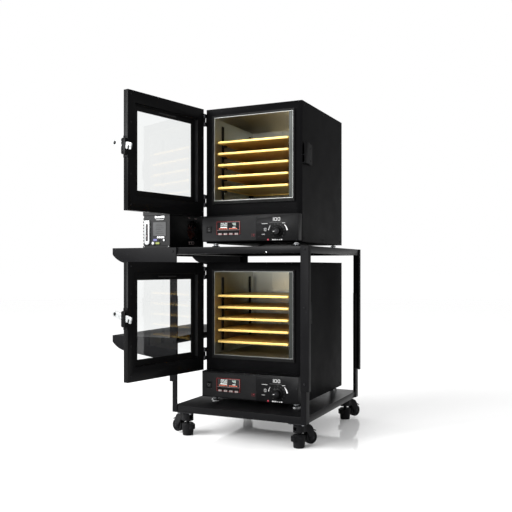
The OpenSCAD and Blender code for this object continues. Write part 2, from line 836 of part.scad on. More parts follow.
// Latch's base plate and slotted block on the door's free edge, with the lever's pivot pin
module latch_block(lz) {
    y0 = latch_y - block_w / 2;
    y1 = latch_y + block_w / 2;
    z0 = lz - block_drop - block_h / 2;
    z1 = lz - block_drop + block_h / 2;
    bevel = 4;
    difference() {
        union() {
            box(door_free - cut, door_free + latch_base_t, outer_y, door_back,
                lz - block_drop - latch_base_h / 2, lz - block_drop + latch_base_h / 2);
            along_x(door_free, latch_base_t + block_out) polygon([
                [y0, z0 + bevel], [y0 + bevel, z0], [y1, z0],
                [y1, z1], [y0 + bevel, z1], [y0, z1 - bevel]]);
        }
        box(lever_x - lever_slot / 2, lever_x + lever_slot / 2, y0 - cut, y1 + cut,
            lz - lever_slot_h / 2, lz + lever_slot_h / 2);
    }
    along_x(lever_x - lever_slot / 2 - cut, lever_slot + 2 * cut) translate([latch_y, lz]) circle(pivot_r);
}

// Door frame with its hinge knuckles and the latch block on its free edge
module door_frame(z) {
    door(z) color("#121214") {
        difference() {
            union() {
                box(pin_edge, door_free, outer_y, door_back, 0, door_h);
                for (h = hinge_zs)
                    translate([0, 0, h - door_z - knuckle_h / 2]) {
                        cylinder(r = knuckle_r, h = knuckle_h);
                        box(0, pin_edge + cut, -knuckle_r, door_back, 0, knuckle_h);
                    }
            }
            along_y(outer_y + glass_t + ledge_t, door_t) translate([pane_x, pane_z])
                square([pane_w, pane_h], center = true);
            along_y(outer_y - cut, door_t) translate([pane_x, pane_z])
                square([window_w, window_h], center = true);
            along_y(outer_y - cut, glass_t + cut) translate([pane_x, pane_z])
                square([window_w + 2 * glass_lap, window_h + 2 * glass_lap], center = true);
            for (h = hinge_zs)
                translate([0, 0, h - door_z - knuckle_h]) cylinder(d = pin_d + 2 * run, h = 2 * knuckle_h);
        }
        latch_block(latch_z - door_z);
    }
}

// Latch lever: pierced handle, pivot eye and the hook's two prongs that drop over the keeper's pin
module lever(z) {
    tip_r = 9.5;
    tip_y = tip_r - handle_out;
    neck = 8;
    eye = block_w / 2;
    slot_r = hook_slot_w / 2;
    slot0 = hook_slot_y - slot_r;
    slot1 = hook_slot_y + slot_r;
    toe_r = 3;
    door(z) color("#d5d8dc") translate([0, latch_y, latch_z - door_z]) rotate([-lever_tilt, 0, 0])
        along_x(lever_x - lever_t / 2, lever_t) difference() {
            polygon(concat(
                arc(tip_y, 0, tip_r, 96, 264, 12),
                [[-eye - 2, -10.5], [-eye, -neck]],
                arc(hook_from + toe_r, toe_r - hook_up, toe_r, 200, 270, 4),
                [[slot0, -hook_up]],
                arc(hook_slot_y, 2 - slot_r, slot_r, 180, 0, 10),
                [[slot1, -hook_up]],
                arc(hook_out - toe_r, toe_r - hook_up, toe_r, 270, 360, 4),
                arc(hook_out - hook_r, hook_up - hook_r, hook_r, 0, 90, 6),
                [[hook_from, hook_up], [eye, neck], [-eye, neck], [-eye - 2, 10.5]]));
            circle(pivot_r + run);
            translate([tip_y, 0]) circle(4.2);
        }
}

// Keepers on the cabinets' right sides: joggled strap with a shelf under it and the hook's pin
module latch_keepers() {
    lap = keeper_t * tan(22.5);
    step = keeper_ear + keeper_gap;
    color("#17171a")
        for (z = [low_z, high_z]) cabinet(z) translate([cab_w / 2, 0, 0]) {
            translate([0, 0, latch_z - keeper_h / 2]) {
                linear_extrude(keeper_h) polygon([
                    [keeper_gap, 0], [keeper_gap + keeper_t, 0], [keeper_gap + keeper_t, keeper_ear],
                    [keeper_t, step], [keeper_t, keeper_d], [0, keeper_d],
                    [0, step - lap], [keeper_gap, keeper_ear - lap]]);
                box(0, keeper_gap + cut, 0, keeper_ear, 0, keeper_t - 1);
            }
            along_x(0, keeper_gap + cut) translate([keeper_y, keeper_z]) circle(d = keeper_pin_d);
        }
}

// Glass bonded into the rebate, flush with the door's outer face
module glass(z) {
    door(z) color([0.8, 0.85, 0.85, 0.35])
        along_y(outer_y, glass_t) translate([pane_x, pane_z])
            square([window_w + 2 * glass_lap, window_h + 2 * glass_lap], center = true);
}

// Purge controller: body with cap, foot band, side fins, raised plate and the fan's well
module purge_box() {
    z0 = deck_top;
    z1 = deck_top + purge_h;
    y1 = purge_y0 + purge_d;
    band = 8;
    cap = 31;
    fins = 9;
    fin_pitch = (purge_h - cap - band - 7.5) / fins;
    fin_h = 5;
    plate_z = 43;
    station() color("#6b6d70") {
        difference() {
            union() {
                box(purge_x0 + 3, purge_x1 - 1, purge_y0 + 2, y1 - 2, z0, z1);
                box(purge_x0, purge_x1, purge_y0, y1, z1 - cap, z1);
                box(purge_x0, purge_x1, purge_y0, y1, z0, z0 + band);
                for (i = [0:fins - 1])
                    translate([0, 0, z0 + band + fin_h + i * fin_pitch])
                        box(purge_x0, purge_x0 + 4, purge_y0 + 2, y1 - 2, 0, fin_h);
                box(purge_x0 + 44, purge_x1 - 17, purge_y0, purge_y0 + 3, z0 + plate_z, z0 + plate_z + 52);
            }
            along_x(purge_x1 - fan_depth, fan_depth + cut) translate([fan_y, fan_z]) circle(fan_r);
            along_y(purge_y0 - cut, purge_hole_d) translate([purge_knob_x, purge_row_z]) circle(purge_shaft_r + run);
            along_y(purge_y0 - cut, purge_hole_d) translate([purge_button_x, purge_row_z])
                square([purge_button_w + 1, purge_button_h + 1], center = true);
        }
        along_x(purge_x1 - fan_depth - cut, fan_depth + cut - 3) translate([fan_y, fan_z]) circle(fan_pin_r);
    }
}

// Sight tube with a rounded lower end and a reading slot
module purge_tube() {
    w = 20;
    z0 = deck_top + 12;
    z1 = deck_top + 101;
    depth = 5;
    slot = [4, 62];
    station() color("#e8e9ea") along_y(purge_y0 - depth, depth + 2) translate([purge_x0 + w, 0]) difference() {
        union() {
            translate([0, z0 + w / 2]) circle(w / 2);
            translate([-w / 2, z0 + w / 2]) square([w, z1 - z0 - w / 2]);
        }
        translate([-slot[0] / 2, z0 + 14]) square(slot);
    }
}

// Fan rotor: hub on its pin and pitched blades
module purge_fan() {
    blades = 7;
    hub_r = 11;
    hub_h = 9;
    chord = 16;
    blade_t = 1.2;
    station() translate([purge_x1 - fan_depth + ease, fan_y, fan_z]) rotate([0, 90, 0]) color("#8a3f2b") {
        difference() {
            cylinder(r = hub_r, h = hub_h);
            translate([0, 0, -cut]) cylinder(r = fan_pin_r + run, h = hub_h + 2 * cut);
        }
        for (i = [0:blades - 1])
            rotate([0, 0, i * 360 / blades]) translate([hub_r - 1, 0, hub_h / 2]) rotate([28, 0, 0])
                translate([0, -chord / 2, -blade_t / 2]) cube([fan_r - hub_r - 1, chord, blade_t]);
    }
}

// Purge controller's knob on its shaft
module purge_knob() {
    r = 5.5;
    h = 8;
    station() translate([purge_knob_x, purge_y0 + 2, purge_row_z]) rotate([90, 0, 0]) color("#e6e6e6") {
        translate([0, 0, ease]) rotate_extrude() polygon([
            [0, 0], [r, 0], [r, h - 1], [r - 1, h], [0, h]]);
        translate([0, 0, 3 - purge_hole_d]) cylinder(r = purge_shaft_r, h = purge_hole_d - 2);
    }
}

// Purge controller's push button
module purge_button() {
    station() color("#b7c93c")
        along_y(purge_y0 - 3, purge_hole_d - 4) translate([purge_button_x, purge_row_z])
            round_rect(purge_button_w, purge_button_h, 1.5);
}

base_tray();
base_legs();
deck_tray();
deck_legs();
side_shelf_low();
side_shelf_high();
caster_plates();
cabinet_feet();
hinge_brackets();
latch_keepers();
shelf_rails();
door_seals();
rear_covers();
power_inlets();
inlet_pins();
housing(1, -1, swivel_right);  // housing_fr
housing(-1, -1, swivel_front_left);  // housing_fl
housing(1, 1, swivel_right);  // housing_rr
housing(-1, 1, swivel_rear_left);  // housing_rl
wheel(1, -1, swivel_right);  // wheel_fr
wheel(-1, -1, swivel_front_left);  // wheel_fl
wheel(1, 1, swivel_right);  // wheel_rr
wheel(-1, 1, swivel_rear_left);  // wheel_rl
foot(1, -1, swivel_right);  // foot_fr
foot(-1, -1, swivel_front_left);  // foot_fl
foot(1, 1, swivel_right);  // foot_rr
foot(-1, 1, swivel_rear_left);  // foot_rl
case(low_z);  // low_case
chamber(low_z);  // low_chamber
panel(low_z);  // low_panel
keys(low_z);  // low_keys
knob(low_z);  // low_knob
rocker(low_z);  // low_switch
shelf(low_z, 1);  // low_shelf_1
shelf(low_z, 2);  // low_shelf_2
shelf(low_z, 3);  // low_shelf_3
shelf(low_z, 4);  // low_shelf_4
shelf(low_z, 5);  // low_shelf_5
door_frame(low_z);  // low_door
glass(low_z);  // low_glass
lever(low_z);  // low_lever
case(high_z);  // high_case
chamber(high_z);  // high_chamber
panel(high_z);  // high_panel
keys(high_z);  // high_keys
knob(high_z);  // high_knob
rocker(high_z);  // high_switch
shelf(high_z, 1);  // high_shelf_1
shelf(high_z, 2);  // high_shelf_2
shelf(high_z, 3);  // high_shelf_3
shelf(high_z, 4);  // high_shelf_4
shelf(high_z, 5);  // high_shelf_5
door_frame(high_z);  // high_door
glass(high_z);  // high_glass
lever(high_z);  // high_lever
purge_box();
purge_tube();
purge_fan();
purge_knob();
purge_button();
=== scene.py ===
import json
import math

import bmesh
import bpy
from mathutils import Matrix, Vector

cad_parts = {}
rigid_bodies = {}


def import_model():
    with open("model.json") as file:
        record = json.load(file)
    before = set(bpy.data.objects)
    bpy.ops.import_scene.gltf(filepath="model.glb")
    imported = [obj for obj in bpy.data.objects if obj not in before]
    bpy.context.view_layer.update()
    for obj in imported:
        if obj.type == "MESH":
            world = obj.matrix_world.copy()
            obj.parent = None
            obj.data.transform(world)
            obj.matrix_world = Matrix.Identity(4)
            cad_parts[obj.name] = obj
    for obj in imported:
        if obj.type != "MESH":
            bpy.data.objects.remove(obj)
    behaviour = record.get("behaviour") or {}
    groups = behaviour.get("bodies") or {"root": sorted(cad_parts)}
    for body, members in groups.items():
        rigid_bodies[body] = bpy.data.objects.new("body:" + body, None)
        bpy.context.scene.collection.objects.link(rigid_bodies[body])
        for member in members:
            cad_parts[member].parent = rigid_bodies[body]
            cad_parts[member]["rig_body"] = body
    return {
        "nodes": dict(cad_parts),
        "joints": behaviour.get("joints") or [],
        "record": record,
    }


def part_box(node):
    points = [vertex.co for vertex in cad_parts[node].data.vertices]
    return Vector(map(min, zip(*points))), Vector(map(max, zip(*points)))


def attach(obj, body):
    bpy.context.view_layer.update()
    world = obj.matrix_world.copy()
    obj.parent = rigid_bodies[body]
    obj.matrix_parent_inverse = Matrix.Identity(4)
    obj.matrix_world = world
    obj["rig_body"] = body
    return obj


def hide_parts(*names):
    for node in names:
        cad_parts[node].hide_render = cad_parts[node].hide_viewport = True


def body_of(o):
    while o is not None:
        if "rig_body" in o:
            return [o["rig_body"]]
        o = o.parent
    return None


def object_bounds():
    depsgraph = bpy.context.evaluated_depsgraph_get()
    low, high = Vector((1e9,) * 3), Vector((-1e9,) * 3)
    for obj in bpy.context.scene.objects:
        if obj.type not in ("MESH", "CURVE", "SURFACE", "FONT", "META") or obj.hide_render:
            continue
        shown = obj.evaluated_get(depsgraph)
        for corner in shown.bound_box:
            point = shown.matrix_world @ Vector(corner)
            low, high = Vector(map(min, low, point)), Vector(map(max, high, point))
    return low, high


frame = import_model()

CAD_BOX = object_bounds()
MM = 0.001
STATION = "station"
KEY_POWER = 260
FILL_POWER = 120
TIERS = ("low", "high")

# ---------------------------------------------------------------- camera and light

CASE_LO, CASE_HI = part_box("high_case")
CAMERA_RIGHT = 894.2 * MM      # right of the cabinets' right side
CAMERA_AHEAD = 2282.6 * MM     # in front of the cabinets' front
CAMERA_HEIGHT = 604 * MM
CAMERA_TURN = 25.156           # degrees towards the left
FRAME_PX = 512
FOCAL_PX = 704.4
HORIZON_DROP_PX = 11


def make_camera():
    data = bpy.data.cameras.new("camera")
    data.sensor_width = 36
    data.lens = FOCAL_PX / FRAME_PX * data.sensor_width
    data.shift_y = HORIZON_DROP_PX / FRAME_PX
    data.clip_end = 50
    cam = bpy.data.objects.new("camera", data)
    bpy.context.scene.collection.objects.link(cam)
    cam.location = (CASE_HI.x + CAMERA_RIGHT, CASE_LO.y - CAMERA_AHEAD, CAMERA_HEIGHT)
    cam.rotation_euler = (math.radians(90), 0, math.radians(CAMERA_TURN))
    bpy.context.scene.camera = cam


def make_world(level):
    bpy.context.scene.view_settings.view_transform = "Standard"
    world = bpy.data.worlds.new("studio")
    bpy.context.scene.world = world
    world.use_nodes = True
    world.node_tree.nodes["Background"].inputs["Color"].default_value = (1, 1, 1, 1)
    world.node_tree.nodes["Background"].inputs["Strength"].default_value = level


def area_light(name, at, target, size, power):
    data = bpy.data.lights.new(name, "AREA")
    data.shape = "RECTANGLE"
    data.size, data.size_y = size
    data.energy = power
    light = bpy.data.objects.new(name, data)
    bpy.context.scene.collection.objects.link(light)
    light.location = at
    light.rotation_euler = (Vector(target) - Vector(at)).to_track_quat("-Z", "Y").to_euler()


# ---------------------------------------------------------------- materials


def shader(name, color, rough, metallic=0.0, specular=0.5):
    """Principled material and its tree; colours are linear."""
    mat = bpy.data.materials.new(name)
    mat.use_nodes = True
    tree = mat.node_tree
    bsdf = tree.nodes["Principled BSDF"]
    bsdf.inputs["Base Color"].default_value = (*color, 1)
    bsdf.inputs["Roughness"].default_value = rough
    bsdf.inputs["Metallic"].default_value = metallic
    bsdf.inputs["Specular IOR Level"].default_value = specular
    return mat, tree, bsdf


def noise(tree, scale, detail=4.0, stretch=(1, 1, 1)):
    """Noise over the object's own coordinates."""
    coord = tree.nodes.new("ShaderNodeTexCoord")
    mapping = tree.nodes.new("ShaderNodeMapping")
    mapping.inputs["Scale"].default_value = stretch
    tex = tree.nodes.new("ShaderNodeTexNoise")
    tex.inputs["Scale"].default_value = scale
    tex.inputs["Detail"].default_value = detail
    tree.links.new(coord.outputs["Object"], mapping.inputs["Vector"])
    tree.links.new(mapping.outputs["Vector"], tex.inputs["Vector"])
    return tex.outputs["Fac"]


def ramp(tree, source, low, high, start=0.35, end=0.65):
    """Colour ramp between two colours."""
    node = tree.nodes.new("ShaderNodeValToRGB")
    node.color_ramp.elements[0].position = start
    node.color_ramp.elements[1].position = end
    node.color_ramp.elements[0].color = (*low, 1)
    node.color_ramp.elements[1].color = (*high, 1)
    tree.links.new(source, node.inputs["Fac"])
    return node.outputs["Color"]


def spread(tree, source, low, high):
    """Maps noise to a range of values."""
    node = tree.nodes.new("ShaderNodeMapRange")
    node.inputs["From Min"].default_value = 0.3
    node.inputs["From Max"].default_value = 0.7
    node.inputs["To Min"].default_value = low
    node.inputs["To Max"].default_value = high
    tree.links.new(source, node.inputs["Value"])
    return node.outputs["Result"]


def bump(tree, bsdf, source, strength, distance):
    node = tree.nodes.new("ShaderNodeBump")
    node.inputs["Strength"].default_value = strength
    node.inputs["Distance"].default_value = distance
    tree.links.new(source, node.inputs["Height"])
    tree.links.new(node.outputs["Normal"], bsdf.inputs["Normal"])


def coated(name, color, rough, specular, grain=900, relief=0.00004):
    """Powder-coated sheet: fine orange peel, slight cloudiness and rubbed patches."""
    mat, tree, bsdf = shader(name, color, rough, specular=specular)
    cloud = noise(tree, 7, 3)
    lighter = tuple(min(1, c * 1.2 + 0.0003) for c in color)
    tree.links.new(ramp(tree, cloud, color, lighter), bsdf.inputs["Base Color"])
    tree.links.new(spread(tree, noise(tree, 18, 5), rough * 0.94, rough * 1.07), bsdf.inputs["Roughness"])
    bump(tree, bsdf, noise(tree, grain, 2), 0.35, relief)
    return mat


def brushed(name, color, rough, along, tint=0.8, metallic=1.0):
    """Brushed metal with its lines running along one axis: 'x', 'y' or 'z'."""
    mat, tree, bsdf = shader(name, color, rough, metallic=metallic)
    stretch = {"x": (0.02, 1, 1), "y": (1, 0.02, 1), "z": (1, 1, 0.02)}[along]
    lines = noise(tree, 600, 3, stretch)
    darker = tuple(c * tint for c in color)
    tree.links.new(ramp(tree, lines, darker, color), bsdf.inputs["Base Color"])
    tree.links.new(spread(tree, lines, rough * 0.8, rough * 1.25), bsdf.inputs["Roughness"])
    bump(tree, bsdf, lines, 0.25, 0.00003)
    return mat


def moulded(name, color, rough, specular=0.5):
    """Moulded plastic or rubber with a fine grain."""
    mat, tree, bsdf = shader(name, color, rough, specular=specular)
    lighter = tuple(min(1, c * 1.2 + 0.001) for c in color)
    tree.links.new(ramp(tree, noise(tree, 25, 4), color, lighter), bsdf.inputs["Base Color"])
    tree.links.new(spread(tree, noise(tree, 60, 4), rough * 0.88, rough * 1.15), bsdf.inputs["Roughness"])
    bump(tree, bsdf, noise(tree, 1400, 2), 0.25, 0.00003)
    return mat


def plated(name, color, rough):
    """Chrome or nickel with faint handling marks."""
    mat, tree, bsdf = shader(name, color, rough, metallic=1.0)
    tree.links.new(spread(tree, noise(tree, 90, 5), rough, rough * 2.2), bsdf.inputs["Roughness"])
    tree.links.new(ramp(tree, noise(tree, 20, 2), tuple(c * 0.92 for c in color), color),
                   bsdf.inputs["Base Color"])
    return mat


def lit(name, color, strength):
    """Glowing segment or lamp."""
    mat, tree, bsdf = shader(name, color, 0.4)
    bsdf.inputs["Emission Color"].default_value = (*color, 1)
    bsdf.inputs["Emission Strength"].default_value = strength
    tree.links.new(ramp(tree, noise(tree, 300, 2), tuple(c * 0.85 for c in color), color),
                   bsdf.inputs["Base Color"])
    return mat


def clear_glass(name, tint, rough):
    """Clear pane, barely uneven."""
    mat, tree, bsdf = shader(name, tint, rough)
    bsdf.inputs["Transmission Weight"].default_value = 1.0
    bsdf.inputs["IOR"].default_value = 1.45
    tree.links.new(spread(tree, noise(tree, 12, 3), rough, rough + 0.01), bsdf.inputs["Roughness"])
    return mat


# name: how it is made, its linear colour, and what that maker takes next
LOOKS = {
    "rack_black": (coated, (0.0045, 0.0045, 0.005), 0.45, 0.035),
    "tray_black": (coated, (0.0042, 0.0042, 0.0046), 0.3, 0.05, 300, 0.00001),
    "case_black": (coated, (0.0030, 0.0030, 0.0033), 0.47, 0.013),
    "door_black": (coated, (0.0028, 0.0028, 0.003), 0.32, 0.03),
    "panel_black": (moulded, (0.0042, 0.0042, 0.0046), 0.35, 0.05),
    "plate_black": (moulded, (0.0075, 0.0075, 0.008), 0.32, 0.085),
    "stainless": (brushed, (0.50, 0.51, 0.475), 0.34, "z", 0.97),
    "strip_steel": (brushed, (0.030, 0.032, 0.030), 0.45, "z", 0.95),
    "rim_steel": (brushed, (0.20, 0.205, 0.20), 0.4, "z", 0.95),
    "lever_steel": (plated, (0.36, 0.37, 0.37), 0.45),
    # painted highlight: lighter grey standing in for light caught along the door's edges and jambs
    "trim_grey": (coated, (0.014, 0.014, 0.0145), 0.4, 0.15),
    "gold_shelf": (brushed, (0.78, 0.53, 0.15), 0.42, "x", 0.94, 0.55),
    "rail_dark": (coated, (0.006, 0.006, 0.006), 0.5, 0.1),
    "hinge_steel": (brushed, (0.05, 0.05, 0.055), 0.4, "z"),
    "caster_steel": (brushed, (0.03, 0.03, 0.032), 0.4, "x"),
    "chrome": (plated, (0.64, 0.65, 0.655), 0.16),
    "caster_body": (moulded, (0.0045, 0.0045, 0.005), 0.4, 0.06),
    "wheel_black": (moulded, (0.0045, 0.0045, 0.005), 0.45, 0.06),
    "foot_rubber": (moulded, (0.0045, 0.0045, 0.005), 0.5, 0.06),
    "seal_rubber": (moulded, (0.004, 0.004, 0.004), 0.6, 0.1),
    "key_grey": (moulded, (0.06, 0.05, 0.05), 0.5, 0.3),
    "knob_black": (moulded, (0.003, 0.003, 0.0033), 0.35, 0.07),
    "switch_black": (moulded, (0.0035, 0.0035, 0.0035), 0.2, 0.2),
    "purge_grey": (coated, (0.003, 0.003, 0.0033), 0.45, 0.01),
    "purge_front": (coated, (0.015, 0.0152, 0.0155), 0.5, 0.08),
    "tube_white": (moulded, (0.42, 0.43, 0.435), 0.3, 0.4),
    "fan_copper": (moulded, (0.10, 0.018, 0.010), 0.4, 0.3),
    "button_yellow": (moulded, (0.16, 0.19, 0.03), 0.35, 0.4),
    "door_glass": (clear_glass, (0.91, 0.925, 0.92), 0.0),
    "printed_glass": (moulded, (0.0028, 0.0028, 0.003), 0.3, 0.04),
    "mark_white": (moulded, (0.60, 0.60, 0.60), 0.5, 0.3),
    "mark_grey": (moulded, (0.10, 0.10, 0.10), 0.5, 0.3),
    "mark_dark": (moulded, (0.012, 0.012, 0.013), 0.4, 0.2),
    "plate_grey": (moulded, (0.036, 0.037, 0.038), 0.4, 0.2),
    "mark_pale": (moulded, (0.36, 0.28, 0.27), 0.5, 0.3),
    "mark_red": (moulded, (0.30, 0.015, 0.015), 0.4, 0.3),
    "mark_dim": (moulded, (0.09, 0.012, 0.012), 0.4, 0.2),
    "screw_steel": (plated, (0.32, 0.33, 0.34), 0.25),
    "screw_black": (plated, (0.022, 0.022, 0.024), 0.35),
    "window_dark": (moulded, (0.003, 0.003, 0.0035), 0.12, 0.25),
    "digit_white": (lit, (0.85, 0.9, 0.88), 0.35),
    "digit_green": (lit, (0.60, 0.72, 0.66), 0.4),
    "digit_red": (lit, (0.72, 0.16, 0.09), 0.3),
    "lamp_red": (lit, (0.40, 0.02, 0.04), 0.15),
    "display_blue": (moulded, (0.09, 0.09, 0.22), 0.25, 0.4),
    "brass": (plated, (0.62, 0.46, 0.20), 0.2),
}
MATS = {name: make(name, *values) for name, (make, *values) in LOOKS.items()}

SLOT_OF = {row["node"]: row["material_slot"] for row in frame["record"]["subparts"]}

# ---------------------------------------------------------------- piece helpers


def finish_piece(name, mesh, body, mat, smooth=False):
    """Makes an object of a mesh, gives it its material and puts it on its body."""
    obj = bpy.data.objects.new(name, mesh)
    bpy.context.scene.collection.objects.link(obj)
    mesh.materials.append(MATS[mat])
    for poly in mesh.polygons:
        poly.use_smooth = smooth
    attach(obj, body)
    return obj


def bm_piece(name, bm, body, mat, smooth=False):
    """Piece from a finished bmesh."""
    mesh = bpy.data.meshes.new(name)
    bmesh.ops.recalc_face_normals(bm, faces=bm.faces)
    bm.to_mesh(mesh)
    bm.free()
    return finish_piece(name, mesh, body, mat, smooth)


def softened(node, width, mat=None):
    """Copy of a CAD node with its sharp edges broken, which then stands for the node."""
    bm = bmesh.new()
    bm.from_mesh(frame["nodes"][node].data)
    bmesh.ops.remove_doubles(bm, verts=bm.verts, dist=0.01 * MM)
    bmesh.ops.dissolve_limit(bm, angle_limit=math.radians(1), verts=bm.verts, edges=bm.edges)
    mesh = bpy.data.meshes.new(node + "_soft")
    bm.to_mesh(mesh)
    bm.free()
    mesh.materials.clear()
    body = body_of(frame["nodes"][node])[0]
    obj = finish_piece(node + "_soft", mesh, body, mat or SLOT_OF[node], smooth=True)
    mod = obj.modifiers.new("edges", "BEVEL")
    mod.width = width * MM
    mod.segments = 2
    mod.limit_method = "ANGLE"
    mod.angle_limit = math.radians(50)
    mod.harden_normals = True
    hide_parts(node)
    return obj


def add_box(bm, lo, hi, matrix=Matrix.Identity(4), bevel=0.0):
    """Adds a box given by two corners, with broken edges if asked."""
    lo, hi = Vector(lo) * MM, Vector(hi) * MM
    made = bmesh.ops.create_cube(bm, size=1)["verts"]
    size = Matrix.Diagonal((*(hi - lo), 1))
    bmesh.ops.transform(bm, matrix=matrix @ Matrix.Translation((lo + hi) / 2) @ size, verts=made)
    if bevel:
        edges = list({e for v in made for e in v.link_edges})
        bmesh.ops.bevel(bm, geom=edges, offset=bevel * MM, segments=2, profile=0.6, affect="EDGES")


def lathe(bm, profile, matrix, steps=24):
    """Turns a profile of (radius, height) round z; ends on the axis close it."""
    rings = []
    for r, z in profile:
        if r < 1e-6:
            rings.append([bm.verts.new(matrix @ Vector((0, 0, z * MM)))])
        else:
            rings.append([bm.verts.new(matrix @ Vector((r * MM * math.cos(t), r * MM * math.sin(t), z * MM)))
                          for t in (2 * math.pi * k / steps for k in range(steps))])
    for low, high in zip(rings, rings[1:]):
        for k in range(steps):
            quad = [low[k % len(low)], low[(k + 1) % len(low)], high[(k + 1) % len(high)], high[k % len(high)]]
            face = list(dict.fromkeys(quad))
            if len(face) > 2:
                bm.faces.new(face)


def facing(at, normal):
    """Frame at a point in millimetres, with z along a normal."""
    turn = Vector(normal).to_track_quat("Z", "Y").to_matrix().to_4x4()
    return Matrix.Translation(Vector(at) * MM) @ turn


def screw(bm, frame_matrix, at, normal, r):
    """Button-head screw with a socket."""
    lathe(bm, [(0, r * 0.15), (r * 0.42, r * 0.15), (r * 0.46, r * 0.62), (r * 0.72, r * 0.5),
               (r * 0.94, r * 0.24), (r, 0), (r, -0.3), (0, -0.3)],
          frame_matrix @ facing(at, normal), 20)


def tier_frame(tier):
    """Middle of a cabinet's width, its front and its bottom."""
    lo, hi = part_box(tier + "_case")
    return Matrix.Translation(((lo.x + hi.x) / 2, lo.y, lo.z))


JOINTS = {joint["name"]: joint for joint in frame["joints"]}


def door_frame(tier):
    """Hinge pin at the door's bottom, +x along the door, -y out of its outer face."""
    joint = JOINTS[tier + "_door_hinge"]
    opened = math.radians(joint["range_deg"][0])
    return Matrix.Translation(joint["pos_m"]) @ Matrix.Rotation(opened, 4, "Z")


# ---------------------------------------------------------------- meter, dial and marks

METER_X, METER_Z = -81, 53
KEY_PITCH = 22
KNOB_X, KNOB_Z = 112.5, 38
SWITCH_X, SWITCH_Z = -160, 49
PANEL_FRONT = -34
PLATE_T = 0.5             # of the sheet over the left of the panel
PLATE_RIGHT = 28
SEGMENTS = {"0": "abcdef", "1": "bc", "2": "abged", "3": "abgcd", "4": "fgbc", "5": "afgcd",
            "6": "afgedc", "7": "abc", "8": "abcdefg", "9": "abcdfg"}


def seven_segment(bm, matrix, digit, x, z, w, h, y, t):
    """One digit of bars on a front at y, with its lower left corner at (x, z)."""
    mid = z + h / 2
    bars = {"a": (x, z + h - t, x + w, z + h), "d": (x, z, x + w, z + t), "g": (x, mid - t / 2, x + w, mid + t / 2),
            "f": (x, mid, x + t, z + h), "b": (x + w - t, mid, x + w, z + h),
            "e": (x, z, x + t, mid), "c": (x + w - t, z, x + w, mid)}
    for key in SEGMENTS[digit]:
        x0, z0, x1, z1 = bars[key]
        add_box(bm, (x0 + 0.1, y - 0.3, z0 + 0.1), (x1 - 0.1, y, z1 - 0.1), matrix)


def number(name, text, x, z, w, h, gap, mat, matrix, y):
    """Row of seven-segment digits as one piece."""
    bm = bmesh.new()
    for i, digit in enumerate(text):
        seven_segment(bm, matrix, digit, x + i * (w + gap), z, w, h, y, w * 0.2)
    bm_piece(name, bm, STATION, mat)


def rounded_outline(x0, x1, z0, z1, r, steps=6):
    """Corners of a rounded rectangle, anticlockwise."""
    points = []
    for cx, cz, start in ((x1 - r, z1 - r, 0), (x0 + r, z1 - r, 90), (x0 + r, z0 + r, 180), (x1 - r, z0 + r, 270)):
        for k in range(steps + 1):
            turn = math.radians(start + 90 * k / steps)
            points.append((cx + r * math.cos(turn), cz + r * math.sin(turn)))
    return points


def prism(bm, outline, y0, y1, matrix, edge=0.0):
    """Solid between y0 and y1 over an outline in x and z, its y0 rim chamfered by edge."""
    mid_x = sum(p[0] for p in outline) / len(outline)
    mid_z = sum(p[1] for p in outline) / len(outline)

    def ring(y, inset):
        made = []
        for x, z in outline:
            away = math.hypot(x - mid_x, z - mid_z)
            k = (away - inset) / away
            made.append(bm.verts.new(matrix @ (Vector((mid_x + (x - mid_x) * k, y, mid_z + (z - mid_z) * k)) * MM)))
        return made

    rings = [ring(y0, edge), ring(y0 + edge, 0), ring(y1, 0)] if edge else [ring(y0, 0), ring(y1, 0)]
    for near, far in zip(rings, rings[1:]):
        for k in range(len(outline)):
            j = (k + 1) % len(outline)
            bm.faces.new((near[k], near[j], far[j], far[k]))
    bm.faces.new(rings[0])
    bm.faces.new(list(reversed(rings[-1])))


def front_plate(tier, matrix):
    """Thin plate over the panel's meter side, cut out for switch and meter."""
    x0, x1, z0, z1 = -187, PLATE_RIGHT, 8, 93
    y0, y1 = PANEL_FRONT - PLATE_T, PANEL_FRONT
    holes = ((SWITCH_X - 11.2, SWITCH_X + 11.2, SWITCH_Z - 12.2, SWITCH_Z + 12.2),
             (METER_X - 48.4, METER_X + 48.4, METER_Z - 24.4, METER_Z + 24.4))
    bm = bmesh.new()
    xs = [x0, holes[0][0], holes[0][1], holes[1][0], holes[1][1], x1]
    for k, (a, b) in enumerate(zip(xs, xs[1:])):
        if k in (1, 3):
            hole = holes[k // 2]
            add_box(bm, (a, y0, z0), (b, y1, hole[2]), matrix)
            add_box(bm, (a, y0, hole[3]), (b, y1, z1), matrix)
        else:
            add_box(bm, (a, y0, z0), (b, y1, z1), matrix)
    bmesh.ops.remove_doubles(bm, verts=bm.verts, dist=0.01 * MM)
    bm_piece(tier + "_front_plate", bm, STATION, "plate_black")


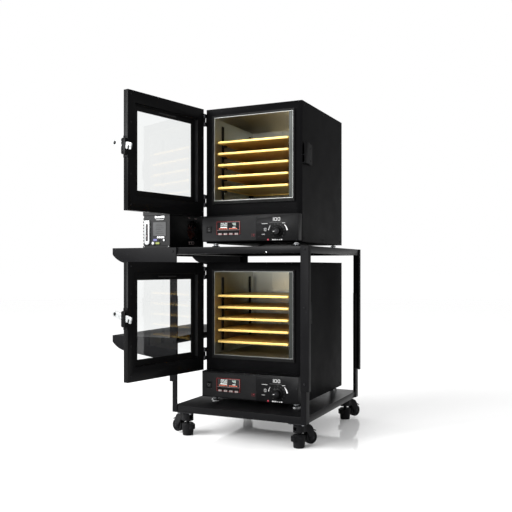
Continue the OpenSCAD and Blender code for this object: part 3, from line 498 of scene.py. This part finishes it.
def meter_face(tier, matrix):
    """Two windows, their digits, bars and lamps, and the printed lines round them."""
    recess = PANEL_FRONT - 1
    face = PANEL_FRONT - 2
    bm = bmesh.new()
    for x0, x1 in ((METER_X - 42.6, METER_X - 3.5), (METER_X - 1.5, METER_X + 42.6)):
        prism(bm, rounded_outline(x0, x1, METER_Z - 4.6, METER_Z + 20.6, 1), recess - 0.4, recess, matrix, 0.15)
    bm_piece(tier + "_meter_windows", bm, STATION, "window_dark")
    glow = recess - 0.4
    number(tier + "_meter_set_value", "050", METER_X - 30, METER_Z + 7.5, 6.4, 11, 2.6, "digit_white", matrix, glow)
    number(tier + "_meter_real_value", "48", METER_X + 16.5, METER_Z + 9, 5.4, 9, 2.2, "digit_green", matrix, glow)
    for name, mat, bars in (
            ("bar", "digit_white", [(-32, -6, 1.4, 4), (17, 29, 1.4, 3.2)]),
            ("lamps", "digit_red", [(x, x + 6.4, -3.8, -1.2) for x in (-37, -28.5, -20, -11.5, 3, 11.5, 20, 28.5)])):
        bm = bmesh.new()
        for x0, x1, z0, z1 in bars:
            add_box(bm, (METER_X + x0, glow - 0.3, METER_Z + z0), (METER_X + x1, glow, METER_Z + z1), matrix)
        bm_piece(f"{tier}_meter_{name}", bm, STATION, mat)
    for name, mat, lines in (
            ("outline", "mark_red", [(-46.8, 46.8, 22.2, 23), (-46.8, 46.8, -23, -22.3), (-46.8, -46, -22.3, 22.2),
                                     (46, 46.8, -22.3, 22.2)]),
            ("lines", "mark_pale", [(-4, 45, 20.9, 21.5), (-4, -3.4, -6.6, 20.9), (44.4, 45, -6.6, 20.9),
                                    (-45, 45, -7.6, -6.8)])):
        bm = bmesh.new()
        for x0, x1, z0, z1 in lines:
            add_box(bm, (METER_X + x0, face - 0.15, METER_Z + z0), (METER_X + x1, face, METER_Z + z1), matrix)
        bm_piece(f"{tier}_meter_{name}", bm, STATION, mat)


def key_marks(tier, matrix):
    """Pale pads with dark arrow and bar marks on the four keys."""
    y = PANEL_FRONT - 3
    bm = bmesh.new()
    for i in range(4):
        x = METER_X + (i - 1.5) * KEY_PITCH
        prism(bm, rounded_outline(x - 6, x + 6, METER_Z - 24.2, METER_Z - 18.8, 1), y - 0.15, y, matrix)
    bm_piece(tier + "_key_pads", bm, tier + "_key_strip", "mark_pale")
    bm = bmesh.new()
    y -= 0.15
    for i, kind in enumerate(("left", "down", "up", "bar")):
        x, z = METER_X + (i - 1.5) * KEY_PITCH, METER_Z - 21.5
        shape = {"left": [(-2.4, 0), (2, -2.2), (2, 2.2)], "down": [(0, -2.3), (3, 1.9), (-3, 1.9)],
                 "up": [(0, 2.3), (-3, -1.9), (3, -1.9)],
                 "bar": [(-3, -1), (3, -1), (3, 1), (-3, 1)]}[kind]
        prism(bm, [(x + p, z + q) for p, q in shape], y - 0.2, y, matrix)
    bm_piece(tier + "_key_marks", bm, tier + "_key_strip", "mark_grey")


def arc_band(bm, at, a0, a1, inner, outer0, outer1, y):
    """Raised band on an arc, its width running from one value to another; angles from the top, clockwise."""
    steps = 20
    for i in range(steps):
        t0, t1 = i / steps, (i + 1) / steps
        ring = []
        start_r, end_r = (outer0 + (outer1 - outer0) * t for t in (t0, t1))
        for r, t in ((inner, t0), (start_r, t0), (end_r, t1), (inner, t1)):
            turn = math.radians(a0 + (a1 - a0) * t)
            ring.append((r * math.sin(turn), r * math.cos(turn)))
        near, far = ([bm.verts.new(at @ (Vector((x, depth, z)) * MM)) for x, z in ring] for depth in (y - 0.25, y))
        bm.faces.new(near)
        bm.faces.new(far)
        for k in range(4):
            bm.faces.new((near[k], near[k - 1], far[k - 1], far[k]))


def dial_marks(tier, matrix):
    """Ticks, scale bands and generic numbers round the knob."""
    y = PANEL_FRONT - 1
    knob = matrix @ Matrix.Translation((KNOB_X * MM, 0, KNOB_Z * MM))
    bm = bmesh.new()
    for i in range(11):
        at = knob @ Matrix.Rotation(math.radians(-135 + 27 * i), 4, "Y")
        add_box(bm, (-0.35, y - 0.15, 23), (0.35, y, 27 if i % 5 == 0 else 25), at)
    bm_piece(tier + "_dial_ticks", bm, STATION, "mark_grey")
    bm = bmesh.new()
    arc_band(bm, knob, 48, 86, 32, 34, 37.4, PANEL_FRONT)
    arc_band(bm, knob, -84, -56, 35, 37, 36, PANEL_FRONT)
    for x0, x1, z, t in ((-62, -40, 27, 0.6), (-62, -50, -10, 0.6), (15, 27, 28, 0.6),
                         (-22, -16, -29.5, 1.8), (-13, -9, -29.5, 2.2), (-6, 2, -29.5, 1.2),
                         (5, 8, -29.5, 2.2), (11, 16, -29.5, 1.8)):
        add_box(bm, (x0, PANEL_FRONT - 0.2, z - t), (x1, PANEL_FRONT, z + t), knob)
    bm_piece(tier + "_dial_marks", bm, STATION, "mark_white")
    bm = bmesh.new()
    add_box(bm, (-32, PANEL_FRONT - 0.2, 30.6), (14, PANEL_FRONT, 31.4), knob)
    bm_piece(tier + "_dial_underline", bm, STATION, "mark_grey")
    number(tier + "_dial_top_number", "100", -26, 36, 9.4, 12, 3, "mark_white", knob, PANEL_FRONT)
    number(tier + "_dial_low_number", "10", -57, 1, 5.2, 11, 2, "mark_white", knob, PANEL_FRONT)
    bm = bmesh.new()
    for x0, x1, z0, z1 in ((-101, -99.8, -19, -6), (-97, -96, -18, -7), (-97, -88, -18, -17),
                           (-97, -88, -8, -7), (-89, -88, -18, -7)):
        add_box(bm, (x0, PANEL_FRONT - PLATE_T - 0.15, z0), (x1, PANEL_FRONT - PLATE_T, z1), knob)
    bm_piece(tier + "_lamp_box", bm, STATION, "mark_dim")
    for name, x, z, r in (("power_lamp", 75, 8.5, 3.6), ("heat_lamp", 20, 26, 1.6)):
        base = PANEL_FRONT - (PLATE_T if x < PLATE_RIGHT else 0)
        bm = bmesh.new()
        lathe(bm, [(r + 1, 0.1), (r + 1, -0.7), (r + 0.2, -0.9), (r + 0.2, 0.1)],
              matrix @ facing((x, base, z), (0, 1, 0)))
        bm_piece(f"{tier}_{name}_bezel", bm, STATION, "screw_black", smooth=True)
        bm = bmesh.new()
        lathe(bm, [(0, 1.5), (r * 0.55, 1.3), (r * 0.9, 0.7), (r, 0), (0, 0)],
              matrix @ facing((x, base, z), (0, -1, 0)))
        bm_piece(f"{tier}_{name}", bm, STATION, "lamp_red", smooth=True)
    bm = bmesh.new()
    at = knob @ Matrix.Rotation(math.radians(-100), 4, "Y")
    add_box(bm, (-0.9, PANEL_FRONT - 19.6, 3), (0.9, PANEL_FRONT - 19.15, 11.5), at, 0.2)
    bm_piece(tier + "_knob_pointer", bm, tier + "_set_knob", "mark_white")
    bm = bmesh.new()
    lathe(bm, [(0, 0.5), (5.5, 0.4), (6.2, 0), (0, 0)], knob @ facing((0, PANEL_FRONT - 19.2, 0), (0, -1, 0)))
    bm_piece(tier + "_knob_cap", bm, tier + "_set_knob", "screw_black", smooth=True)


def switch_marks(tier, matrix):
    """Line and ring marks on the rocker."""
    bm = bmesh.new()
    lean = math.atan2(2.9, 7.2)
    at = matrix @ Matrix.Translation((SWITCH_X * MM, 0, SWITCH_Z * MM))
    line = at @ Matrix.Translation(Vector((0, PANEL_FRONT - 2.45, 3.9)) * MM) @ Matrix.Rotation(-lean, 4, "X")
    add_box(bm, (-0.5, -0.3, -1.8), (0.5, 0.1, 1.8), line)
    ring = at @ Matrix.Translation(Vector((0, PANEL_FRONT - 1.35, -4.0)) * MM)
    ring = ring @ Matrix.Rotation(math.radians(82), 4, "X")
    lathe(bm, [(1.3, -0.2), (1.3, 0.2), (1.9, 0.2), (1.9, -0.2)], ring, 20)
    bm_piece(tier + "_switch_marks", bm, tier + "_rocker", "mark_grey")


# ---------------------------------------------------------------- doors and latches

DOOR_INNER = 1.5                          # inner face, from the hinge pin
DOOR_FREE = 380.7                         # free edge
PANE = (37.7, 347.7, 47.6, 356.6)         # opening in the inner face: x0, x1, z0, z1
WINDOW = (58.7, 326.7, 68.6, 335.6)       # clear opening behind the ledge
LEDGE_FACE = -13.5                        # what the glass lies on
LEVER_AT = (388.7, -8.5, 213.6)
LEVER_TILT = 14                           # degrees, at rest


def frame_ring(bm, outer, inner, y0, y1, matrix):
    """Rectangular ring between two rectangles x0, x1, z0, z1, mitred at its corners."""
    def corners(box, y):
        return [matrix @ (Vector((x, y, z)) * MM) for x, z in
                ((box[0], box[2]), (box[1], box[2]), (box[1], box[3]), (box[0], box[3]))]
    rows = [[bm.verts.new(p) for p in corners(box, y)] for box, y in
            ((outer, y0), (inner, y0), (inner, y1), (outer, y1))]
    for k in range(4):
        j = (k + 1) % 4
        for a, b in zip(rows, rows[1:] + rows[:1]):
            bm.faces.new((a[k], a[j], b[j], b[k]))


def grown(box, by):
    return (box[0] - by, box[1] + by, box[2] - by, box[3] + by)


def door_details(tier):
    """Glass border and beads, a strip of painted highlight on the window recess's jamb, a catch plate coloured as
    painted highlight, screws and the lever's plug, on the door and its latch.
    """
    at = door_frame(tier)
    leaf = tier + "_door_leaf"
    bm = bmesh.new()
    frame_ring(bm, grown(PANE, -0.2), grown(WINDOW, -0.5), LEDGE_FACE, LEDGE_FACE + 0.6, at)
    bm_piece(tier + "_glass_border", bm, leaf, "printed_glass")
    bm = bmesh.new()
    frame_ring(bm, grown(WINDOW, 1.5), grown(WINDOW, -1), LEDGE_FACE + 0.6, LEDGE_FACE + 1.6, at)
    frame_ring(bm, grown(PANE, -0.1), grown(PANE, -2.2), LEDGE_FACE + 0.6, LEDGE_FACE + 3, at)
    bm_piece(tier + "_glass_beads", bm, leaf, "seal_rubber")
    # painted highlight: a thin light-grey strip standing in for the light line along the window recess's jamb
    bm = bmesh.new()
    add_box(bm, (PANE[0] - 0.1, LEDGE_FACE + 3.2, PANE[2] + 6),
            (PANE[0] + 0.8, DOOR_INNER - 0.7, PANE[3] - 6), at, 0.25)
    bm_piece(tier + "_recess_painted_highlight", bm, leaf, "trim_grey")
    bm = bmesh.new()
    for x in (14, DOOR_FREE - 14):
        for z in (20, 120, 290, 382):
            screw(bm, at, (x, DOOR_INNER, z), (0, 1, 0), 2.6)
    bm_piece(tier + "_door_screws", bm, leaf, "screw_black", smooth=True)
    # plate on the top rail; its lighter grey is painted highlight where light catches the top jamb
    bm = bmesh.new()
    add_box(bm, (138, LEDGE_FACE + 0.4, WINDOW[3] + 8), (226, LEDGE_FACE + 1.9, WINDOW[3] + 12), at, 0.4)
    bm_piece(tier + "_door_catch_plate", bm, leaf, "trim_grey")
    bm = bmesh.new()
    _, ly, lz = LEVER_AT
    for z in (lz - 5 - 33, lz - 5 + 33):
        for y in (ly - 5, ly + 5):
            screw(bm, at, (DOOR_FREE + 2, y, z), (1, 0, 0), 2)
    lathe(bm, [(0, 0.7), (2.2, 0.6), (3, 0), (0, 0)], at @ facing((393.2, ly, lz), (1, 0, 0)), 20)
    bm_piece(tier + "_latch_screws", bm, leaf, "screw_black", smooth=True)
    lever = at @ Matrix.Translation(Vector(LEVER_AT) * MM) @ Matrix.Rotation(math.radians(-LEVER_TILT), 4, "X")
    bm = bmesh.new()
    lathe(bm, [(0, -2.6), (5.5, -2.6), (6.1, -2.2), (6.1, -2.02), (4.1, -2), (4.1, 2), (6.1, 2.02), (6.1, 2.2),
               (5.5, 2.6), (0, 2.6)], lever @ facing((0, -43.5, 0), (1, 0, 0)), 28)
    bm_piece(tier + "_lever_plug", bm, tier + "_latch", "knob_black", smooth=True)


def hinge_details(tier, place):
    """Screws on the fixed leaves and domed ends on the pins."""
    bm = bmesh.new()
    for middle in (157, 455):
        for z in (middle - 14, middle, middle + 14):
            screw(bm, place, (-192.5, 15, z), (-1, 0, 0), 2.4)
        for end in (-1, 1):
            lathe(bm, [(0, 1.6), (1.6, 1.4), (2.9, 0.7), (3.3, 0), (0, 0)],
                  place @ facing((-194, -9.5, middle + end * 22.5), (0, 0, end)), 20)
    bm_piece(tier + "_hinge_screws", bm, STATION, "screw_black", smooth=True)


def strip_plate(tier, place):
    """Darker sheet over the strip between the chamber and its rim on the latch side."""
    bm = bmesh.new()
    add_box(bm, (140.2, -0.5, 157.2), (154.2, -0.05, 458.8), place)
    add_box(bm, (153.6, -2.9, 157.2), (154.3, -0.5, 458.8), place)
    bm_piece(tier + "_strip_plate", bm, STATION, "strip_steel")


def rear_details(tier, place):
    """Screws on the rear cover, the inlet and the latch keeper."""
    bm = bmesh.new()
    for x in (-149, 0, 149):
        for z in (119, 467):
            screw(bm, place, (x, 435.5, z), (0, 1, 0), 3)
    for x in (100, 140):
        screw(bm, place, (x, 437, 62), (0, 1, 0), 2.4)
    bm_piece(tier + "_rear_screws", bm, STATION, "screw_steel", smooth=True)
    bm = bmesh.new()
    for z in (290, 334):
        screw(bm, place, (194, 72, z), (1, 0, 0), 3)
    bm_piece(tier + "_keeper_screws", bm, STATION, "screw_black", smooth=True)


def cabinet_screws(tier, matrix):
    """Screws on the case's sides, and the nuts of its feet."""
    bm = bmesh.new()
    lo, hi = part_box(tier + "_case")
    half, depth, height = (hi.x - lo.x) / 2 / MM, (hi.y - lo.y) / MM, (hi.z - lo.z) / MM
    for side in (-1, 1):
        for y in (20, depth / 2, depth - 20):
            for z in (14, height - 14):
                screw(bm, matrix, (side * half, y, z), (side, 0, 0), 2.6)
    bm_piece(tier + "_case_screws", bm, STATION, "screw_black", smooth=True)
    bm = bmesh.new()
    for x in (-160, 160):
        for y in (18, depth - 18):
            lathe(bm, [(0, 5), (9, 5), (11, 4), (11, 0), (0, 0)],
                  matrix @ facing((x, y, -7.6), (0, 0, 1)), 6)
    bm_piece(tier + "_foot_nuts", bm, STATION, "screw_steel")


def rack_screws():
    """Bolts through the front and rear flanges where deck legs lap base legs and shelves."""
    bm = bmesh.new()
    one = Matrix.Identity(4)
    lo, hi = (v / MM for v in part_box("deck_legs"))
    shelf_lo, shelf_hi = (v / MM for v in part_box("side_shelf_high"))
    low_lo, low_hi = (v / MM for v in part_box("side_shelf_low"))
    for x, left in ((lo.x + 15, True), (hi.x - 15, False)):
        for y, out in ((lo.y, -1), (hi.y, 1)):
            for z in (lo.z + 25, lo.z + 275, hi.z - 12):
                covered = left and any(b.z < z < t.z for b, t in ((shelf_lo, shelf_hi), (low_lo, low_hi)))
                if not covered:
                    screw(bm, one, (x, y, z), (0, out, 0), 4)
    for box_lo, box_hi in ((shelf_lo, shelf_hi), (low_lo, low_hi)):
        for y, out in ((box_lo.y, -1), (box_hi.y, 1)):
            for z in (box_hi.z - 14, box_hi.z - 60):
                screw(bm, one, (box_hi.x - 15, y, z), (0, out, 0), 4)
    bm_piece("rack_screws", bm, STATION, "screw_black", smooth=True)
    bm = bmesh.new()
    lo, hi = (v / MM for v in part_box("deck_tray"))
    screw(bm, one, ((lo.x + hi.x) / 2 + 112.6, lo.y, lo.z + 4), (0, -1, 0), 2.6)
    bm_piece("tray_screw", bm, STATION, "chrome", smooth=True)


# ---------------------------------------------------------------- casters


BOLT_SPREAD = 23          # from the swivel to a plate bolt, in x and y
WHEEL_CORNERS = ("fr", "fl", "rr", "rl")


def caster_details():
    """Plate bolts, axle caps, wheel ribs and grip ribs of the four casters."""
    for corner in WHEEL_CORNERS:
        swivel = Matrix.Translation(JOINTS["swivel_" + corner]["pos_m"])
        roll = JOINTS["roll_" + corner]
        axle = Vector(roll["pos_m"])
        away = axle - swivel.translation
        turn = math.atan2(away.y, away.x)
        bm = bmesh.new()
        for x in (-BOLT_SPREAD, BOLT_SPREAD):
            for y in (-BOLT_SPREAD, BOLT_SPREAD):
                lathe(bm, [(0, 3), (3.6, 3), (4.2, 2.4), (4.2, 0), (0, 0)],
                      swivel @ facing((x, y, 3), (0, 0, -1)), 6)
        bm_piece(f"caster_{corner}_bolts", bm, STATION, "screw_steel")
        bm = bmesh.new()
        spin = Matrix.Translation(axle) @ Matrix.Rotation(turn, 4, "Z")
        for side in (-1, 1):
            lathe(bm, [(0, 2.4), (2.6, 2.4), (4.4, 1.8), (5, 0.6), (5, 0), (0, 0)],
                  spin @ facing((0, side * 13.9, 0), (0, side, 0)), 24)
        bm_piece(f"caster_{corner}_axle_caps", bm, "caster_" + corner, "screw_black", smooth=True)
        bm = bmesh.new()
        for side in (-1, 1):
            for k in range(5):
                spoke = spin @ Matrix.Rotation(math.radians(72 * k), 4, "Y")
                add_box(bm, (-0.9, side * 9 - 0.95, 12), (0.9, side * 9 + 0.9, 16.2), spoke, 0.3)
        bm_piece(f"caster_{corner}_wheel_ribs", bm, "caster_wheel_" + corner, "wheel_black")
        bm = bmesh.new()
        foot = Matrix.Translation((swivel.translation.x, swivel.translation.y, 0)) @ Matrix.Rotation(turn, 4, "Z")
        for k in range(-6, 7):
            turn_k = math.radians(180 + 13 * k)
            at = foot @ Matrix.Translation(Vector((-20, 0, 0)) * MM) @ Matrix.Rotation(turn_k, 4, "Z")
            add_box(bm, (10.8, -0.7, 24.5), (11.5, 0.7, 40.5), at, 0.25)
        bm_piece(f"foot_{corner}_ribs", bm, "levelling_foot_" + corner, "foot_rubber")


# ---------------------------------------------------------------- purge controller


def purge_details():
    """Fan grille, ports and marks on the controller's side, and everything on its front."""
    lo, hi = (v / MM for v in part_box("purge_box"))
    face = Matrix.Translation(Vector((lo.x, lo.y, lo.z)) * MM)
    fan_y, fan_z = lo.y + 162, lo.z + 71
    side_x = hi.x - 1
    bm = bmesh.new()
    grille = facing((side_x, fan_y, fan_z), (1, 0, 0))
    for r in (10, 19, 28, 37):
        lathe(bm, [(r, 0.2), (r + 0.9, -0.5), (r, -1.2), (r - 0.9, -0.5), (r, 0.2)], grille, 40)
    for k in range(4):
        spoke = grille @ Matrix.Rotation(math.radians(45 * k), 4, "Z")
        add_box(bm, (-41, -0.7, -1.5), (41, 0.7, -0.7), spoke)
    for k in range(4):
        spot = grille @ Matrix.Rotation(math.radians(45 + 90 * k), 4, "Z")
        spot = spot @ Matrix.Translation(Vector((43, 0, 0)) * MM)
        lathe(bm, [(0, 0.9), (2, 0.8), (2.8, 0.2), (2.8, -0.2), (0, -0.2)], spot, 20)
    bm_piece("purge_grille", bm, STATION, "screw_black", smooth=True)
    bm = bmesh.new()
    sideways = Matrix.Rotation(math.pi / 2, 4, "Z")
    above = Matrix.Translation(Vector((side_x, fan_y, fan_z + 45)) * MM) @ sideways
    below = Matrix.Translation(Vector((side_x, fan_y - 8, fan_z - 50)) * MM) @ sideways
    for y in (-24, 24):
        prism(bm, rounded_outline(y - 8, y + 8, -1.6, 1.6, 1.4), -0.5, 0, above, 0.15)
    prism(bm, rounded_outline(-19, 19, -6, 6, 2), -0.8, 0, below, 0.2)
    bm_piece("purge_side_marks", bm, STATION, "mark_pale")
    bm = bmesh.new()
    for y in (-17, 1):
        lathe(bm, [(0, 2.6), (2.2, 2.6), (2.2, 4), (3.4, 4), (4, 3.2), (4, 0.8), (0, 0.8)],
              facing((side_x, fan_y + y, fan_z - 50), (1, 0, 0)), 20)
    bm_piece("purge_ports", bm, STATION, "knob_black", smooth=True)
    bm = bmesh.new()
    prism(bm, rounded_outline(3.5, 115.5, 8.5, 118.5, 2), 0.9, 2, face, 0.2)
    prism(bm, rounded_outline(0.8, 116.2, 119.8, 149, 1.5), -0.2, 0, face)
    prism(bm, rounded_outline(0.8, 116.2, 0.8, 7.4, 1.5), -0.2, 0, face)
    bm_piece("purge_front_sheet", bm, STATION, "purge_front")
    bm = bmesh.new()
    prism(bm, rounded_outline(45, 61, 25.5, 33, 1.5), 0.1, 0.9, face, 0.2)
    bm_piece("purge_display", bm, STATION, "display_blue")
    bm = bmesh.new()
    lathe(bm, [(0, 0.9), (3, 0.9), (4, 0.4), (4, 0), (0, 0)], face @ facing((70, 0, 28), (0, -1, 0)), 24)
    lathe(bm, [(5.2, 0), (5.2, 0.8), (4.2, 1.2), (4.2, 0)], face @ facing((91.5, 0, 28), (0, -1, 0)), 24)
    bm_piece("purge_round_sockets", bm, STATION, "screw_black", smooth=True)
    bm = bmesh.new()
    lathe(bm, [(0, 1.7), (3, 1.6), (4.2, 1), (4.2, 0), (0, 0)], face @ facing((91.5, 0, 28), (0, -1, 0)), 24)
    for x in (5.5, 111.5):
        for z in (138, 5):
            screw(bm, face, (x, 0, z), (0, -1, 0), 2)
    bm_piece("purge_white_button", bm, STATION, "tube_white", smooth=True)
    bm = bmesh.new()
    prism(bm, rounded_outline(44.5, 99.5, 43.5, 94.5, 1.5), -0.4, 0, face, 0.15)
    bm_piece("purge_label_plate", bm, STATION, "plate_grey")
    bm = bmesh.new()
    for k, z in enumerate((52, 58, 66, 72, 80, 86)):
        add_box(bm, (56 + k % 2 * 2, -0.55, z), (90 - k % 3 * 5, -0.4, z + 1.6), face)
    bm_piece("purge_label_lines", bm, STATION, "mark_dark")
    bm = bmesh.new()
    for x0, x1, z0, z1 in ((52, 58, 109, 117), (60, 64, 109, 115), (66, 76, 109, 115), (78, 82, 109, 117),
                           (84, 92, 109, 117), (56, 90, 102.5, 103.5)):
        add_box(bm, (x0, 0.55, z0), (x1, 0.9, z1), face)
    for x0, x1 in ((62, 68), (70, 77), (79, 86), (88, 92)):
        add_box(bm, (x0, -0.55, 35.5), (x1, 0.9, 41.5), face)
    bm_piece("purge_blank_marks", bm, STATION, "mark_white")
    tube = Matrix.Translation(Vector((lo.x + 20, lo.y - 5, lo.z)) * MM)
    bm = bmesh.new()
    prism(bm, rounded_outline(-5.4, 5.4, 25, 88.5, 4), -0.25, 0, tube, 0.1)
    bm_piece("purge_tube_well", bm, STATION, "mark_dark")
    bm = bmesh.new()
    for z in range(28, 86, 6):
        add_box(bm, (1, -0.4, z), (5 if (z - 28) % 12 == 0 else 3.4, -0.25, z + 0.6), tube)
    add_box(bm, (-3.6, -0.6, 43), (-0.4, -0.25, 46), tube, 0.3)
    bm_piece("purge_tube_marks", bm, STATION, "mark_pale")


# ---------------------------------------------------------------- scene

make_camera()
make_world(1.0)
centre = (CAD_BOX[0] + CAD_BOX[1]) / 2
area_light("key", (centre.x - 3.0, centre.y - 2.6, 2.2), centre, (1.8, 1.8), KEY_POWER)
area_light("fill", (centre.x - 1.3, centre.y - 3.6, 1.9), centre, (1.4, 1.0), FILL_POWER)

SOFT_EDGES = {"base_tray": 1.0, "deck_tray": 1.0, "base_legs": 0.7, "deck_legs": 0.7, "side_shelf_low": 0.8,
              "side_shelf_high": 0.8, "latch_keepers": 0.6, "purge_box": 0.8, "purge_tube": 0.6}
for tier in TIERS:
    SOFT_EDGES.update({tier + "_case": 0.8, tier + "_panel": 0.8, tier + "_door": 0.7, tier + "_keys": 0.3,
                       tier + "_switch": 0.3, tier + "_lever": 0.5, tier + "_chamber": 0.4})
    SOFT_EDGES.update({f"{tier}_shelf_{i}": 0.6 for i in range(1, 6)})
for corner in WHEEL_CORNERS:
    SOFT_EDGES["housing_" + corner] = 0.5

FINISH_OF = {"latch_keepers": "case_black", "low_lever": "lever_steel", "high_lever": "lever_steel"}

for node, obj in frame["nodes"].items():
    if node in SOFT_EDGES:
        piece = softened(node, SOFT_EDGES[node], FINISH_OF.get(node))
        if node.endswith("_chamber"):
            piece.data.materials.append(MATS["rim_steel"])
            for poly in piece.data.polygons:
                poly.material_index = int(poly.center.y < CASE_LO.y + 0.5 * MM)
    else:
        obj.data.materials.clear()
        obj.data.materials.append(MATS[SLOT_OF[node]])

for tier in TIERS:
    place = tier_frame(tier)
    front_plate(tier, place)
    meter_face(tier, place)
    key_marks(tier, place)
    dial_marks(tier, place)
    switch_marks(tier, place)
    door_details(tier)
    hinge_details(tier, place)
    strip_plate(tier, place)
    rear_details(tier, place)
    cabinet_screws(tier, place)
rack_screws()
caster_details()
purge_details()


FLOOR_SIZE = 60


def make_floor():
    bm = bmesh.new()
    bmesh.ops.create_grid(bm, x_segments=2, y_segments=2, size=FLOOR_SIZE)
    mesh = bpy.data.meshes.new("floor")
    bm.to_mesh(mesh)
    bm.free()
    floor = bpy.data.objects.new("floor", mesh)
    bpy.context.scene.collection.objects.link(floor)
    mat, tree, bsdf = shader("floor", (0.93, 0.93, 0.93), 0.05, specular=0.3)
    tree.links.new(spread(tree, noise(tree, 2, 2), 0.045, 0.055), bsdf.inputs["Roughness"])
    mesh.materials.append(mat)


make_floor()
